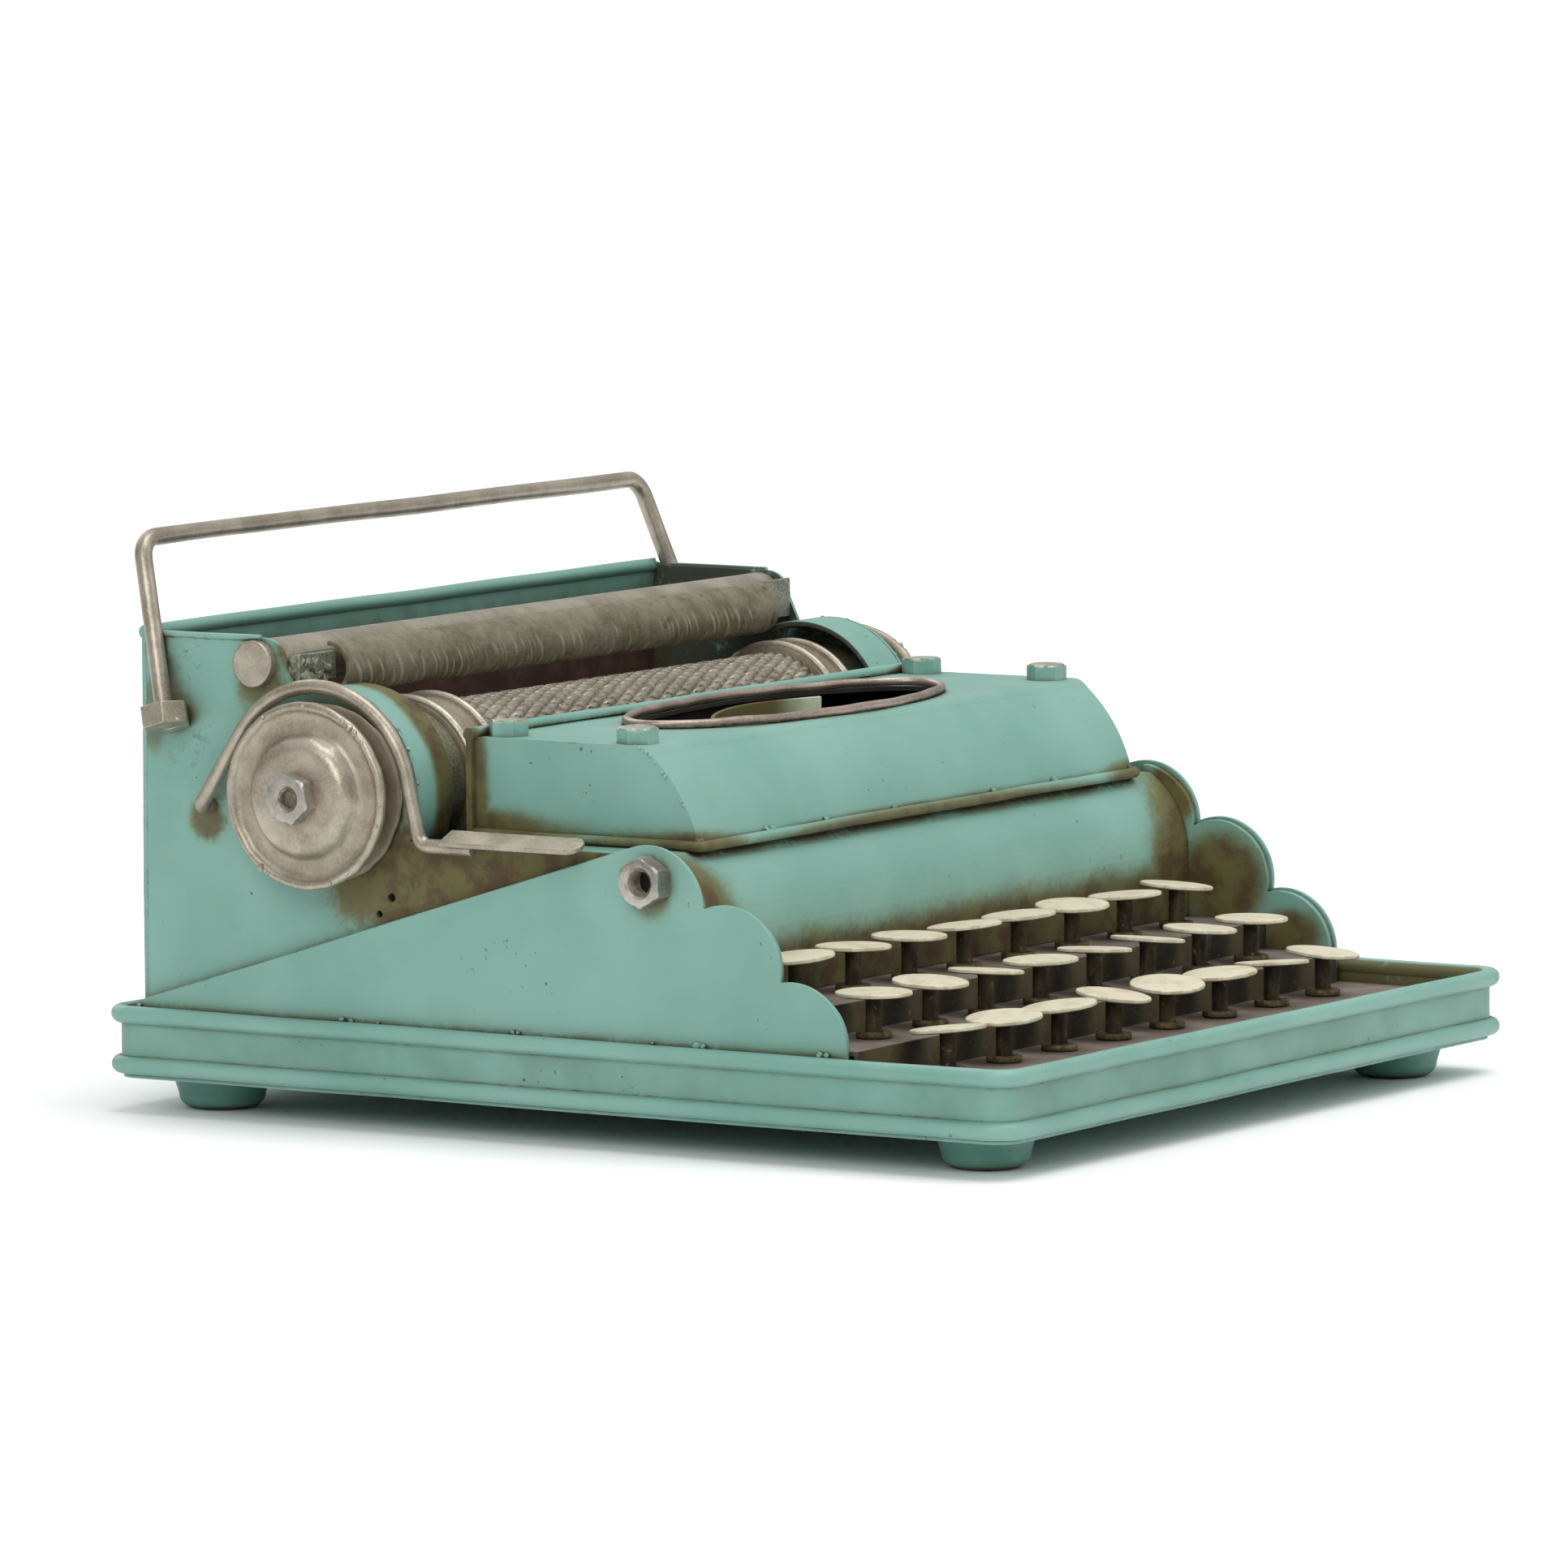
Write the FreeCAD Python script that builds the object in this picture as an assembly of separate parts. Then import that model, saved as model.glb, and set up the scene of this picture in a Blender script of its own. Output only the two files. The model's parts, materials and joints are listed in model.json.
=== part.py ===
import FreeCAD, Part

import math
import os

# Small sheet-metal model typewriter. Millimetres, +Z up, front towards -Y.
# Origin: on the ground, midway between the four feet.

os.makedirs("parts", exist_ok=True)
V = FreeCAD.Vector
AXIS_X = V(1, 0, 0)
AXIS_Y = V(0, 1, 0)
AXIS_Z = V(0, 0, 1)

# ---- base ----
TRAY_X = 110.0            # half width to the centre of the rolled beads
TRAY_Y = 117.0            # half depth to the centre of the rolled beads
TRAY_CORNER = 6.0
BEAD_R = 2.0
BEAD_LOW = 10.5
BEAD_HIGH = 21.8
WEB = 1.2                 # thickness of the strip between the beads
WEB_SET = 0.2             # the strip's outer face, inside the bead centres
FLOOR_TOP = 8.5
FLOOR_T = 0.9
FOOT_X = 90.5
FOOT_Y = 100.0
FOOT_TOP_R = 11.2
FOOT_LOW_R = 9.8
FOOT_ROUND = 3.2

# ---- cheeks ----
SHEET = 1.0
CHEEK_OUT = 107.9         # outer face
CHEEK_TIP = (113.8, 23.9)  # (y, z) where the sloping top meets the rear
LOBE_R = 14.0
LOBES = [(-25.0, 53.0), (-44.8, 41.0), (-61.5, 25.2)]
LINER_STEP = 0.7
LINER_T = 1.6
NUT_YZ = (-25.6, 59.2)
NUT_AF = 10.0
NUT_T = 5.0
NUT_BORE = 2.5
NUT_CHAMFER = 0.5

# ---- rear housing ----
SIDE_OUT = 105.3          # outer face of the side plates
REAR_Y = 109.4            # inner face of the rear panel
REAR_T = 1.2
SIDE_TOP = 107.5
SIDE_TOP_FRONT = 77.5     # where the top edge turns down
SIDE_BROW = [(73.2, 105.7), (71.5, 101.5)]
SIDE_FRONT = -14.0
SILL_Z = 64.2             # low front part of the side plates
SIDE_LIP_R = 0.7
REAR_LIP_R = 1.6
RIVET_HOLES = [((43.8, 51.5), 1.0), ((47.0, 47.7), 0.8)]

# ---- platen ----
PLATEN_YZ = (60.0, 74.0)
SHAFT_R = 2.5
RUNNING = 0.06            # radial clearance of the turning fits
SHAFT_END = 120.2
ROLLER_R = 16.8
ROLLER_X = (-63.5, 79.0)
COLLAR_R = 18.0
RING_R = 1.1
RING_MID_R = 18.4
COLLARS = [(-76.3, -63.5), (79.0, 89.0)]
END_DRUM_R = 17.0
END_GAP = 0.5
HOOD_R = 23.2
HOOD_T = 1.2
HOOD_IN = 90.8            # inner edge of the hoods
HOOD_ARC = (68.0, 205.0)  # degrees from +Y, turning up
KNOB_FACE = 115.6
# Outline as (distance in from the outer disc's face, radius).
KNOB_OUTLINE = [
    (-3.0, 2.5),
    (-3.0, 11.2),
    (-2.4, 12.4),
    (-0.6, 13.5),
    (0.9, 14.2),
    (0.9, 19.2),
    (0.0, 19.7),
    (0.0, 20.5),
    (0.5, 20.9),
    (1.6, 20.9),
    (2.2, 20.3),
    (2.2, 13.5),
    (8.2, 13.5),
    (8.2, 19.1),
    (9.0, 19.8),
    (9.8, 19.1),
    (9.8, 2.5),
]

# ---- return lever ----
LEVER_X = -109.9
LEVER_R = 1.65
LEVER_PIVOT = (92.1, 69.4)
LEVER_ARC_C = (60.2, 73.5)
LEVER_ARC_R = 24.3
LEVER_ARC = (32.0, 172.0)
LEVER_STEP = 3.2          # slant from the arc down to the straight run
LEVER_RUN = 17.0
LEVER_Z = 64.0
PADDLE_REAR = 26.0
PADDLE_L = 36.0
PADDLE_W = 6.2
PADDLE_T = 1.2
PADDLE_TILT = 22.0

# ---- bars behind the platen ----
ROD_YZ = (79.2, 101.8)
ROD_R = 5.2
ROD_OUT = 107.8
SCALE_YZ = (71.0, 100.0)
SCALE_R = 6.0
SCALE_X = 90.0

# ---- handle ----
HANDLE_R = 2.0
HANDLE_TOP = V(102.3, 112.5, 128.1)
HANDLE_FOOT = V(110.9, 100.2, 87.0)
HANDLE_BEND = 6.0

# ---- cowl and key deck ----
DECK_TOP = 64.5           # flat top of the cowl, under the ribbon cover
COWL_BROW_Y = -27.0
COWL_BOW = [(-33.9, 57.6), (-37.3, 47.0)]
COWL_BOW_IN = [(-33.0, 57.0), (-36.3, 46.8)]
COWL_BROW_IN_Y = -26.6
KEY_PITCH = 23.6
KEYS_IN_ROW = 8
ROW_Y = [-85.7, -66.9, -47.1]
ROW_TOP = [28.5, 35.2, 41.8]
KEY_HEIGHT = 10.3         # disc top above its tread
DISC_R = 8.5
DISC_T = 1.1
STEM_R = 1.8
CLIP_R = 2.8
CLIP_T = 0.8
STEM_BELOW = 4.0
KEY_COLLAR_R = 4.0
KEY_COLLAR_T = 1.6
DECK_X = 105.2
RISER_GAP = 0.4           # from a key disc to the riser behind it
APRON_CORNER = 4.0

# ---- ribbon cover ----
COVER_X = 93.5
COVER_TOP = 86.8
COVER_REAR = 29.2
COVER_FOOT_Y = -28.6
# Front curve from the flat top down: edge, then (middle, end) of two arcs.
COVER_CURVE = [(-13.0, 86.8), (-15.1, 86.3), (-16.6, 85.0), (-23.8, 77.0), (-28.6, 66.6)]
COVER_CURVE_IN = [(-13.0, 85.8), (-14.7, 85.4), (-15.9, 84.3), (-23.0, 76.4), (-27.6, 66.6)]
COVER_ROLL_R = 1.4
FLANGE_X = 95.2
FLANGE_T = 1.5
COVER_BEAD_R = 1.2
OPENING_C = (0.0, 7.0)
OPENING_X = 58.5
OPENING_Y = 20.5
TRIM_R = 1.0
TYPE_SHEET_C = (16.0, -36.0)
TYPE_SHEET_R = 62.0
TYPE_SHEET_ARC = (69.0, 130.0)
TYPE_SHEET_GAP = 0.3
BOLT_XY = [(-87.5, -9.5), (87.5, -9.5), (-87.5, 24.4), (87.5, 24.4)]
BOLT_AF = 8.0
BOLT_T = 4.0
BOLT_R = 2.5
BOLT_SHANK = 6.0


def save(name, *solids):
    shape = solids[0] if len(solids) == 1 else Part.makeCompound(list(solids))
    shape.exportStep("parts/" + name + ".step")


def both_sides(shape):
    return [shape, shape.mirror(V(0, 0, 0), AXIS_X)]


def box(low, high):
    size = high.sub(low)
    return Part.makeBox(size.x, size.y, size.z, low)


def polar(centre, radius, degrees):
    angle = math.radians(degrees)
    return (centre[0] + radius * math.cos(angle), centre[1] + radius * math.sin(angle))


def profile(start, *steps):
    """Closed (y, z) outline; a step is a point, or (middle, end) of an arc."""
    edges = []
    here = start
    for step in steps + (start,):
        if isinstance(step[0], tuple):
            middle, end = step
            edges.append(Part.Arc(V(0, *here), V(0, *middle), V(0, *end)).toShape())
        else:
            end = step
            edges.append(Part.makeLine(V(0, *here), V(0, *end)))
        here = end
    return Part.Wire(edges)


def slab(outline, x_from, x_to):
    """Solid with a (y, z) outline between two x planes."""
    solid = Part.Face(outline).extrude(V(x_to - x_from, 0, 0))
    solid.translate(V(x_from, 0, 0))
    return solid


def x_cylinder(yz, radius, x_from, x_to):
    return Part.makeCylinder(radius, x_to - x_from, V(x_from, *yz), AXIS_X)


def hexagon(across_flats, height, bore, turn=0.0):
    """Hex nut or head standing on z = 0; bore 0 leaves it solid."""
    corner = across_flats / math.sqrt(3)
    points = []
    for step in range(7):
        angle = math.radians(60 * step + turn)
        points.append(V(corner * math.cos(angle), corner * math.sin(angle), 0))
    solid = Part.Face(Part.makePolygon(points)).extrude(V(0, 0, height))
    cone = Part.makeCone(corner + height, corner - NUT_CHAMFER, height + NUT_CHAMFER)
    solid = solid.common(cone)
    if bore > 0:
        solid = solid.cut(Part.makeCylinder(bore, height))
    return solid


def point_along(solid, place, direction):
    """Turn a solid from +Z to a direction and set its base at a place."""
    turned = solid.copy()
    turned.Placement = FreeCAD.Placement(place, FreeCAD.Rotation(AXIS_Z, direction))
    return turned


def rounded_rect(half_x, half_y, radius, z):
    edges = []
    corners = [(1, -1, -90), (1, 1, 0), (-1, 1, 90), (-1, -1, 180)]
    ends = []
    for sx, sy, start in corners:
        centre = (sx * (half_x - radius), sy * (half_y - radius))
        first = V(*polar(centre, radius, start), z)
        middle = V(*polar(centre, radius, start + 45), z)
        last = V(*polar(centre, radius, start + 90), z)
        ends.append((first, middle, last))
    for index, (first, middle, last) in enumerate(ends):
        edges.append(Part.Arc(first, middle, last).toShape())
        edges.append(Part.makeLine(last, ends[(index + 1) % 4][0]))
    return Part.Wire(edges)


def bent_path(points, radius):
    """Open path with a rounded bend at each inner point."""
    edges = []
    here = points[0]
    for before, corner, after in zip(points, points[1:], points[2:]):
        back = before.sub(corner).normalize()
        ahead = after.sub(corner).normalize()
        half = back.getAngle(ahead) / 2
        reach = radius / math.tan(half)
        centre = corner.add(back.add(ahead).normalize().multiply(radius / math.sin(half)))
        first = corner.add(V(back).multiply(reach))
        last = corner.add(V(ahead).multiply(reach))
        middle = centre.add(corner.sub(centre).normalize().multiply(radius))
        edges.append(Part.makeLine(here, first))
        edges.append(Part.Arc(first, middle, last).toShape())
        here = last
    edges.append(Part.makeLine(here, points[-1]))
    return Part.Wire(edges)


def round_wire(path, radius):
    """Round bar of one radius along a path."""
    first = path.OrderedEdges[0]
    start = first.valueAt(first.FirstParameter)
    heading = first.tangentAt(first.FirstParameter)
    section = Part.Wire(Part.makeCircle(radius, start, heading))
    return path.makePipeShell([section], True, False)


# ---- base ----

def bead_ring(z):
    """Closed round bead: four straight runs and four quarter-torus corners."""
    corner_x = TRAY_X - TRAY_CORNER
    corner_y = TRAY_Y - TRAY_CORNER
    ring = []
    for sign in (-1, 1):
        along_x = Part.makeCylinder(BEAD_R, 2 * corner_x, V(-corner_x, sign * TRAY_Y, z), AXIS_X)
        along_y = Part.makeCylinder(BEAD_R, 2 * corner_y, V(sign * TRAY_X, -corner_y, z), AXIS_Y)
        ring += [along_x, along_y]
    for sx, sy, start in ((1, -1, -90), (1, 1, 0), (-1, 1, 90), (-1, -1, 180)):
        centre = V(sx * corner_x, sy * corner_y, z)
        circle = Part.makeCircle(BEAD_R, centre.add(V(TRAY_CORNER, 0, 0)), AXIS_Y)
        section = Part.Face(Part.Wire(circle))
        section.rotate(centre, AXIS_Z, start)
        ring.append(section.revolve(centre, AXIS_Z, 90))
    return ring[0].fuse(ring[1:])


def base_rim():
    outer = rounded_rect(TRAY_X - WEB_SET, TRAY_Y - WEB_SET, TRAY_CORNER, FLOOR_TOP)
    inner_set = WEB_SET + WEB
    inner = rounded_rect(TRAY_X - inner_set, TRAY_Y - inner_set, TRAY_CORNER - WEB, FLOOR_TOP)
    height = V(0, 0, BEAD_HIGH - FLOOR_TOP)
    rim = Part.Face(outer).extrude(height).cut(Part.Face(inner).extrude(height))
    return rim.fuse([bead_ring(BEAD_LOW), bead_ring(BEAD_HIGH)])


def base_floor():
    outline = rounded_rect(TRAY_X - 0.5, TRAY_Y - 0.5, TRAY_CORNER, FLOOR_TOP - FLOOR_T)
    return Part.Face(outline).extrude(V(0, 0, FLOOR_T))


def foot():
    height = FLOOR_TOP - FLOOR_T
    flat = FOOT_LOW_R - FOOT_ROUND
    corner = polar((flat, FOOT_ROUND), FOOT_ROUND, -45)
    round_end = V(FOOT_LOW_R, 0, FOOT_ROUND)
    outline = [
        Part.makeLine(V(0, 0, 0), V(flat, 0, 0)),
        Part.Arc(V(flat, 0, 0), V(corner[0], 0, corner[1]), round_end).toShape(),
        Part.makeLine(round_end, V(FOOT_TOP_R, 0, height)),
        Part.makeLine(V(FOOT_TOP_R, 0, height), V(0, 0, height)),
        Part.makeLine(V(0, 0, height), V(0, 0, 0)),
    ]
    return Part.Face(Part.Wire(outline)).revolve(V(0, 0, 0), AXIS_Z, 360)


def feet():
    cups = []
    for x in (-FOOT_X, FOOT_X):
        for y in (-FOOT_Y, FOOT_Y):
            cup = foot()
            cup.translate(V(x, y, 0))
            cups.append(cup)
    return cups


# ---- cheeks ----

def notch(upper, lower, radius):
    """Outer crossing of two equal lobe circles."""
    mid = ((upper[0] + lower[0]) / 2, (upper[1] + lower[1]) / 2)
    along = (lower[0] - upper[0], lower[1] - upper[1])
    length = math.hypot(*along)
    rise = math.sqrt(radius ** 2 - (length / 2) ** 2)
    return (mid[0] + along[1] / length * rise, mid[1] - along[0] / length * rise)


def lobe_arc(centre, radius, start, end):
    """(middle, end) of the arc that runs over the front of a lobe."""
    first = math.degrees(math.atan2(start[1] - centre[1], start[0] - centre[0]))
    last = math.degrees(math.atan2(end[1] - centre[1], end[0] - centre[0]))
    return (polar(centre, radius, (first + last % 360) / 2), end)


def scallops(start, radius):
    """Arc steps over the three lobes, from a start on the first one."""
    first_notch = notch(LOBES[0], LOBES[1], radius)
    second_notch = notch(LOBES[1], LOBES[2], radius)
    front = (LOBES[2][0] - radius, LOBES[2][1])
    return [
        lobe_arc(LOBES[0], radius, start, first_notch),
        lobe_arc(LOBES[1], radius, first_notch, second_notch),
        lobe_arc(LOBES[2], radius, second_notch, front),
    ]


def cheek_outline():
    toward = (LOBES[0][0] - CHEEK_TIP[0], LOBES[0][1] - CHEEK_TIP[1])
    bearing = math.degrees(math.atan2(toward[1], toward[0]))
    swing = math.degrees(math.asin(LOBE_R / math.hypot(*toward)))
    tangent = polar(LOBES[0], LOBE_R, bearing - swing - 90)
    steps = scallops(tangent, LOBE_R)
    front = LOBES[2][0] - LOBE_R
    return profile((CHEEK_TIP[0], FLOOR_TOP), CHEEK_TIP, tangent, *steps, (front, FLOOR_TOP))


def left_cheek():
    plate = slab(cheek_outline(), -CHEEK_OUT, -CHEEK_OUT + SHEET)
    return plate.cut(x_cylinder(NUT_YZ, NUT_BORE + 0.5, -CHEEK_OUT - 1, -CHEEK_OUT + SHEET + 1))


def left_liner():
    radius = LOBE_R - LINER_STEP
    start = (LOBES[0][0], LOBES[0][1] + radius)
    foot_z = ROW_TOP[0] - KEY_HEIGHT
    front = LOBES[2][0] - radius
    outline = profile((start[0], foot_z), start, *scallops(start, radius), (front, foot_z))
    outer = -CHEEK_OUT + SHEET
    liner = slab(outline, outer, outer + LINER_T)
    return liner.cut(x_cylinder(NUT_YZ, NUT_BORE + 0.5, outer, outer + LINER_T))


def cheek_nut():
    nut = hexagon(NUT_AF, NUT_T, NUT_BORE)
    return point_along(nut, V(-CHEEK_OUT, *NUT_YZ), V(-1, 0, 0))


# ---- rear housing ----

def side_outline():
    hood_start = polar(PLATEN_YZ, HOOD_R, HOOD_ARC[0])
    hood_mid = polar(PLATEN_YZ, HOOD_R, (HOOD_ARC[0] + HOOD_ARC[1]) / 2)
    hood_end = polar(PLATEN_YZ, HOOD_R, HOOD_ARC[1])
    return profile(
        (REAR_Y, FLOOR_TOP),
        (REAR_Y, SIDE_TOP),
        (SIDE_TOP_FRONT, SIDE_TOP),
        tuple(SIDE_BROW),
        hood_start,
        (hood_mid, hood_end),
        (hood_end[0] - 4.0, SILL_Z),
        (SIDE_FRONT, SILL_Z),
        (SIDE_FRONT, FLOOR_TOP),
    )


def plain_side_plate():
    """Left side plate with its top lip, shaft hole and reliefs for the handle."""
    plate = slab(side_outline(), -SIDE_OUT, -SIDE_OUT + SHEET)
    lip_start = SIDE_TOP_FRONT + SIDE_LIP_R
    lip = Part.makeCylinder(SIDE_LIP_R, REAR_Y - lip_start, V(-SIDE_OUT, lip_start, SIDE_TOP), AXIS_Y)
    shaft_hole = x_cylinder(PLATEN_YZ, SHAFT_R + RUNNING, -SIDE_OUT - 1, -SIDE_OUT + SHEET + 1)
    foot_point, leg = left_handle_leg()
    relief = Part.makeCylinder(HANDLE_R + RUNNING, HANDLE_TOP.z - HANDLE_FOOT.z, foot_point, leg)
    return plate.fuse(lip).cut([shaft_hole, relief, handle_nut()])


def left_side_plate():
    plate = plain_side_plate()
    holes = [(LEVER_PIVOT, LEVER_R + RUNNING), (ROD_YZ, ROD_R)] + RIVET_HOLES
    for yz, radius in holes:
        plate = plate.cut(x_cylinder(yz, radius, -SIDE_OUT - 1, -SIDE_OUT + SHEET + 1))
    return plate


def rear_panel():
    panel = box(V(-SIDE_OUT, REAR_Y, FLOOR_TOP), V(SIDE_OUT, REAR_Y + REAR_T, SIDE_TOP))
    roll = x_cylinder((REAR_Y + REAR_T / 3, SIDE_TOP), REAR_LIP_R, -SIDE_OUT, SIDE_OUT)
    low = V(-SIDE_OUT, REAR_Y - REAR_LIP_R, SIDE_TOP - 2 * REAR_LIP_R)
    high = V(-SIDE_OUT + SHEET, REAR_Y, SIDE_TOP + 2 * REAR_LIP_R)
    roll = roll.cut(both_sides(box(low, high)))
    return panel.fuse(roll).removeSplitter()


def left_hood():
    start, end = HOOD_ARC
    mid = (start + end) / 2
    inner = HOOD_R - HOOD_T
    outline = profile(
        polar(PLATEN_YZ, HOOD_R, start),
        (polar(PLATEN_YZ, HOOD_R, mid), polar(PLATEN_YZ, HOOD_R, end)),
        polar(PLATEN_YZ, inner, end),
        (polar(PLATEN_YZ, inner, mid), polar(PLATEN_YZ, inner, start)),
    )
    return slab(outline, -SIDE_OUT + SHEET, -HOOD_IN)


# ---- platen ----

def bored(solid):
    return solid.cut(x_cylinder(PLATEN_YZ, SHAFT_R, -SHAFT_END - 5, SHAFT_END + 5))


def drum(radius, x_from, x_to):
    """Thin drum, closed by a disc at each end."""
    shell = x_cylinder(PLATEN_YZ, radius, x_from, x_to)
    hollow = x_cylinder(PLATEN_YZ, radius - SHEET, x_from + SHEET, x_to - SHEET)
    return bored(shell.cut(hollow))


def platen_collar(x_from, x_to):
    solid = drum(COLLAR_R, x_from, x_to)
    for x in (x_from + RING_R, x_to - RING_R):
        ring = Part.makeTorus(RING_MID_R, RING_R, V(x, *PLATEN_YZ), AXIS_X)
        solid = solid.fuse(ring.cut(x_cylinder(PLATEN_YZ, COLLAR_R - SHEET / 2, x_from, x_to)))
    return solid


def end_drums():
    inner_face = SIDE_OUT - SHEET - END_GAP
    left = drum(END_DRUM_R, -inner_face, COLLARS[0][0])
    right = drum(END_DRUM_R, COLLARS[1][1], inner_face)
    return [left, right]


def left_knob():
    """Spool-shaped knob: stamped outer disc, core and inner disc."""
    corners = []
    for inward, radius in KNOB_OUTLINE + KNOB_OUTLINE[:1]:
        corners.append(V(inward - KNOB_FACE, PLATEN_YZ[0], PLATEN_YZ[1] + radius))
    return Part.Face(Part.makePolygon(corners)).revolve(V(0, *PLATEN_YZ), AXIS_X, 360)


def left_knob_nut():
    nut = hexagon(NUT_AF, NUT_T - 1.0, SHAFT_R, 12.0)
    dome = KNOB_OUTLINE[0][0] - KNOB_FACE
    return point_along(nut, V(dome, *PLATEN_YZ), V(-1, 0, 0))


# ---- return lever ----

def lever_wire():
    start, end = LEVER_ARC
    arc_start = polar(LEVER_ARC_C, LEVER_ARC_R, start)
    arc_end = polar(LEVER_ARC_C, LEVER_ARC_R, end)
    hook = [
        V(-SIDE_OUT + 3.0, *LEVER_PIVOT),
        V(LEVER_X, *LEVER_PIVOT),
        V(LEVER_X, *arc_start),
    ]
    tail = bent_path(hook, 2.4)
    over = Part.Arc(
        V(LEVER_X, *arc_start),
        V(LEVER_X, *polar(LEVER_ARC_C, LEVER_ARC_R, (start + end) / 2)),
        V(LEVER_X, *arc_end),
    ).toShape()
    front = [
        V(LEVER_X, *arc_end),
        V(LEVER_X, arc_end[0] - LEVER_STEP, LEVER_Z),
        V(LEVER_X, arc_end[0] - LEVER_RUN, LEVER_Z),
    ]
    path = Part.Wire(tail.OrderedEdges + [over] + bent_path(front, 3.0).OrderedEdges)
    return round_wire(path, LEVER_R)


def lever_paddle():
    half = PADDLE_W / 2
    straight = half - PADDLE_L
    outline = Part.Wire([
        Part.makeLine(V(-half, 0, 0), V(half, 0, 0)),
        Part.makeLine(V(half, 0, 0), V(half, straight, 0)),
        Part.Arc(V(half, straight, 0), V(0, -PADDLE_L, 0), V(-half, straight, 0)).toShape(),
        Part.makeLine(V(-half, straight, 0), V(-half, 0, 0)),
    ])
    plate = Part.Face(outline).extrude(V(0, 0, PADDLE_T))
    tilt = FreeCAD.Rotation(AXIS_Y, -PADDLE_TILT)
    seat = V(LEVER_X, PADDLE_REAR, LEVER_Z).add(tilt.multVec(V(0, 0, LEVER_R - 0.02)))
    plate.Placement = FreeCAD.Placement(seat, tilt)
    return plate


# ---- bars behind the platen ----

def scale_bar():
    y, z = SCALE_YZ
    inner = SCALE_R - SHEET
    outline = profile(
        (y, z + SCALE_R),
        ((y - SCALE_R, z), (y, z - SCALE_R)),
        (y, z - inner),
        ((y - inner, z), (y, z + inner)),
    )
    return slab(outline, -SCALE_X, SCALE_X)


def left_scale_bracket():
    """Tab on the front of the bar, with a rivet."""
    y, z = SCALE_YZ
    tab = box(V(-SIDE_OUT + SHEET, y - 2.4, z - 2.0), V(-SCALE_X, y - 1.2, z + 4.0))
    rivet = Part.makeCylinder(2.0, 1.4, V(-SIDE_OUT + 7.0, y - 2.4, z + 1.0), V(0, -1, 0))
    return tab.fuse(rivet)


def right_scale_bracket():
    """Plain tab behind the bar, hidden by the side plate's corner."""
    y, z = SCALE_YZ
    return box(V(SCALE_X - 4.0, y, z - 3.0), V(SIDE_OUT - SHEET, y + 1.2, z + SCALE_R))


def rear_rod():
    """Tube with a closed button end outside the left side plate."""
    right_end = SIDE_OUT - SHEET
    tube = x_cylinder(ROD_YZ, ROD_R, -ROD_OUT, right_end)
    return tube.cut(x_cylinder(ROD_YZ, ROD_R - SHEET, -ROD_OUT + 2.5, right_end))


# ---- handle ----

def left_handle_leg():
    """Foot of the left leg, and the direction the leg rises in."""
    foot_point = V(-HANDLE_FOOT.x, HANDLE_FOOT.y, HANDLE_FOOT.z)
    top_point = V(-HANDLE_TOP.x, HANDLE_TOP.y, HANDLE_TOP.z)
    return foot_point, top_point.sub(foot_point).normalize()


def handle():
    left_foot = V(-HANDLE_FOOT.x, HANDLE_FOOT.y, HANDLE_FOOT.z)
    left_top = V(-HANDLE_TOP.x, HANDLE_TOP.y, HANDLE_TOP.z)
    path = bent_path([left_foot, left_top, HANDLE_TOP, HANDLE_FOOT], HANDLE_BEND)
    return round_wire(path, HANDLE_R)


def handle_nut():
    nut = hexagon(NUT_AF, NUT_T, HANDLE_R, 30.0)
    return point_along(nut, *left_handle_leg())


# ---- cowl and key deck ----

def front_cowl():
    """Flat deck between the side plates and a bowed front over the keys."""
    foot_z = ROW_TOP[2] - KEY_HEIGHT
    foot_y = COWL_BOW[-1][0]
    joint_y = SIDE_FRONT - 0.2
    low = DECK_TOP - SHEET
    half_rear = SIDE_OUT - SHEET
    rear = box(V(-half_rear, joint_y, low), V(half_rear, COVER_REAR + 4.0, DECK_TOP))
    front = profile(
        (joint_y, low),
        (joint_y, DECK_TOP),
        (COWL_BROW_Y, DECK_TOP),
        tuple(COWL_BOW),
        (foot_y, foot_z),
        (foot_y + SHEET, foot_z),
        COWL_BOW_IN[1],
        (COWL_BOW_IN[0], (COWL_BROW_IN_Y, low)),
    )
    return rear.fuse(slab(front, -SIDE_OUT, SIDE_OUT)).removeSplitter()


def key_places():
    """(row number, column number, x, y, z of the disc top) of every key."""
    places = []
    for row, (y, top) in enumerate(zip(ROW_Y, ROW_TOP)):
        for column in range(KEYS_IN_ROW):
            x = (column - (KEYS_IN_ROW - 1) / 2) * KEY_PITCH
            places.append((row + 1, column + 1, x, y, top))
    return places


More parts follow.
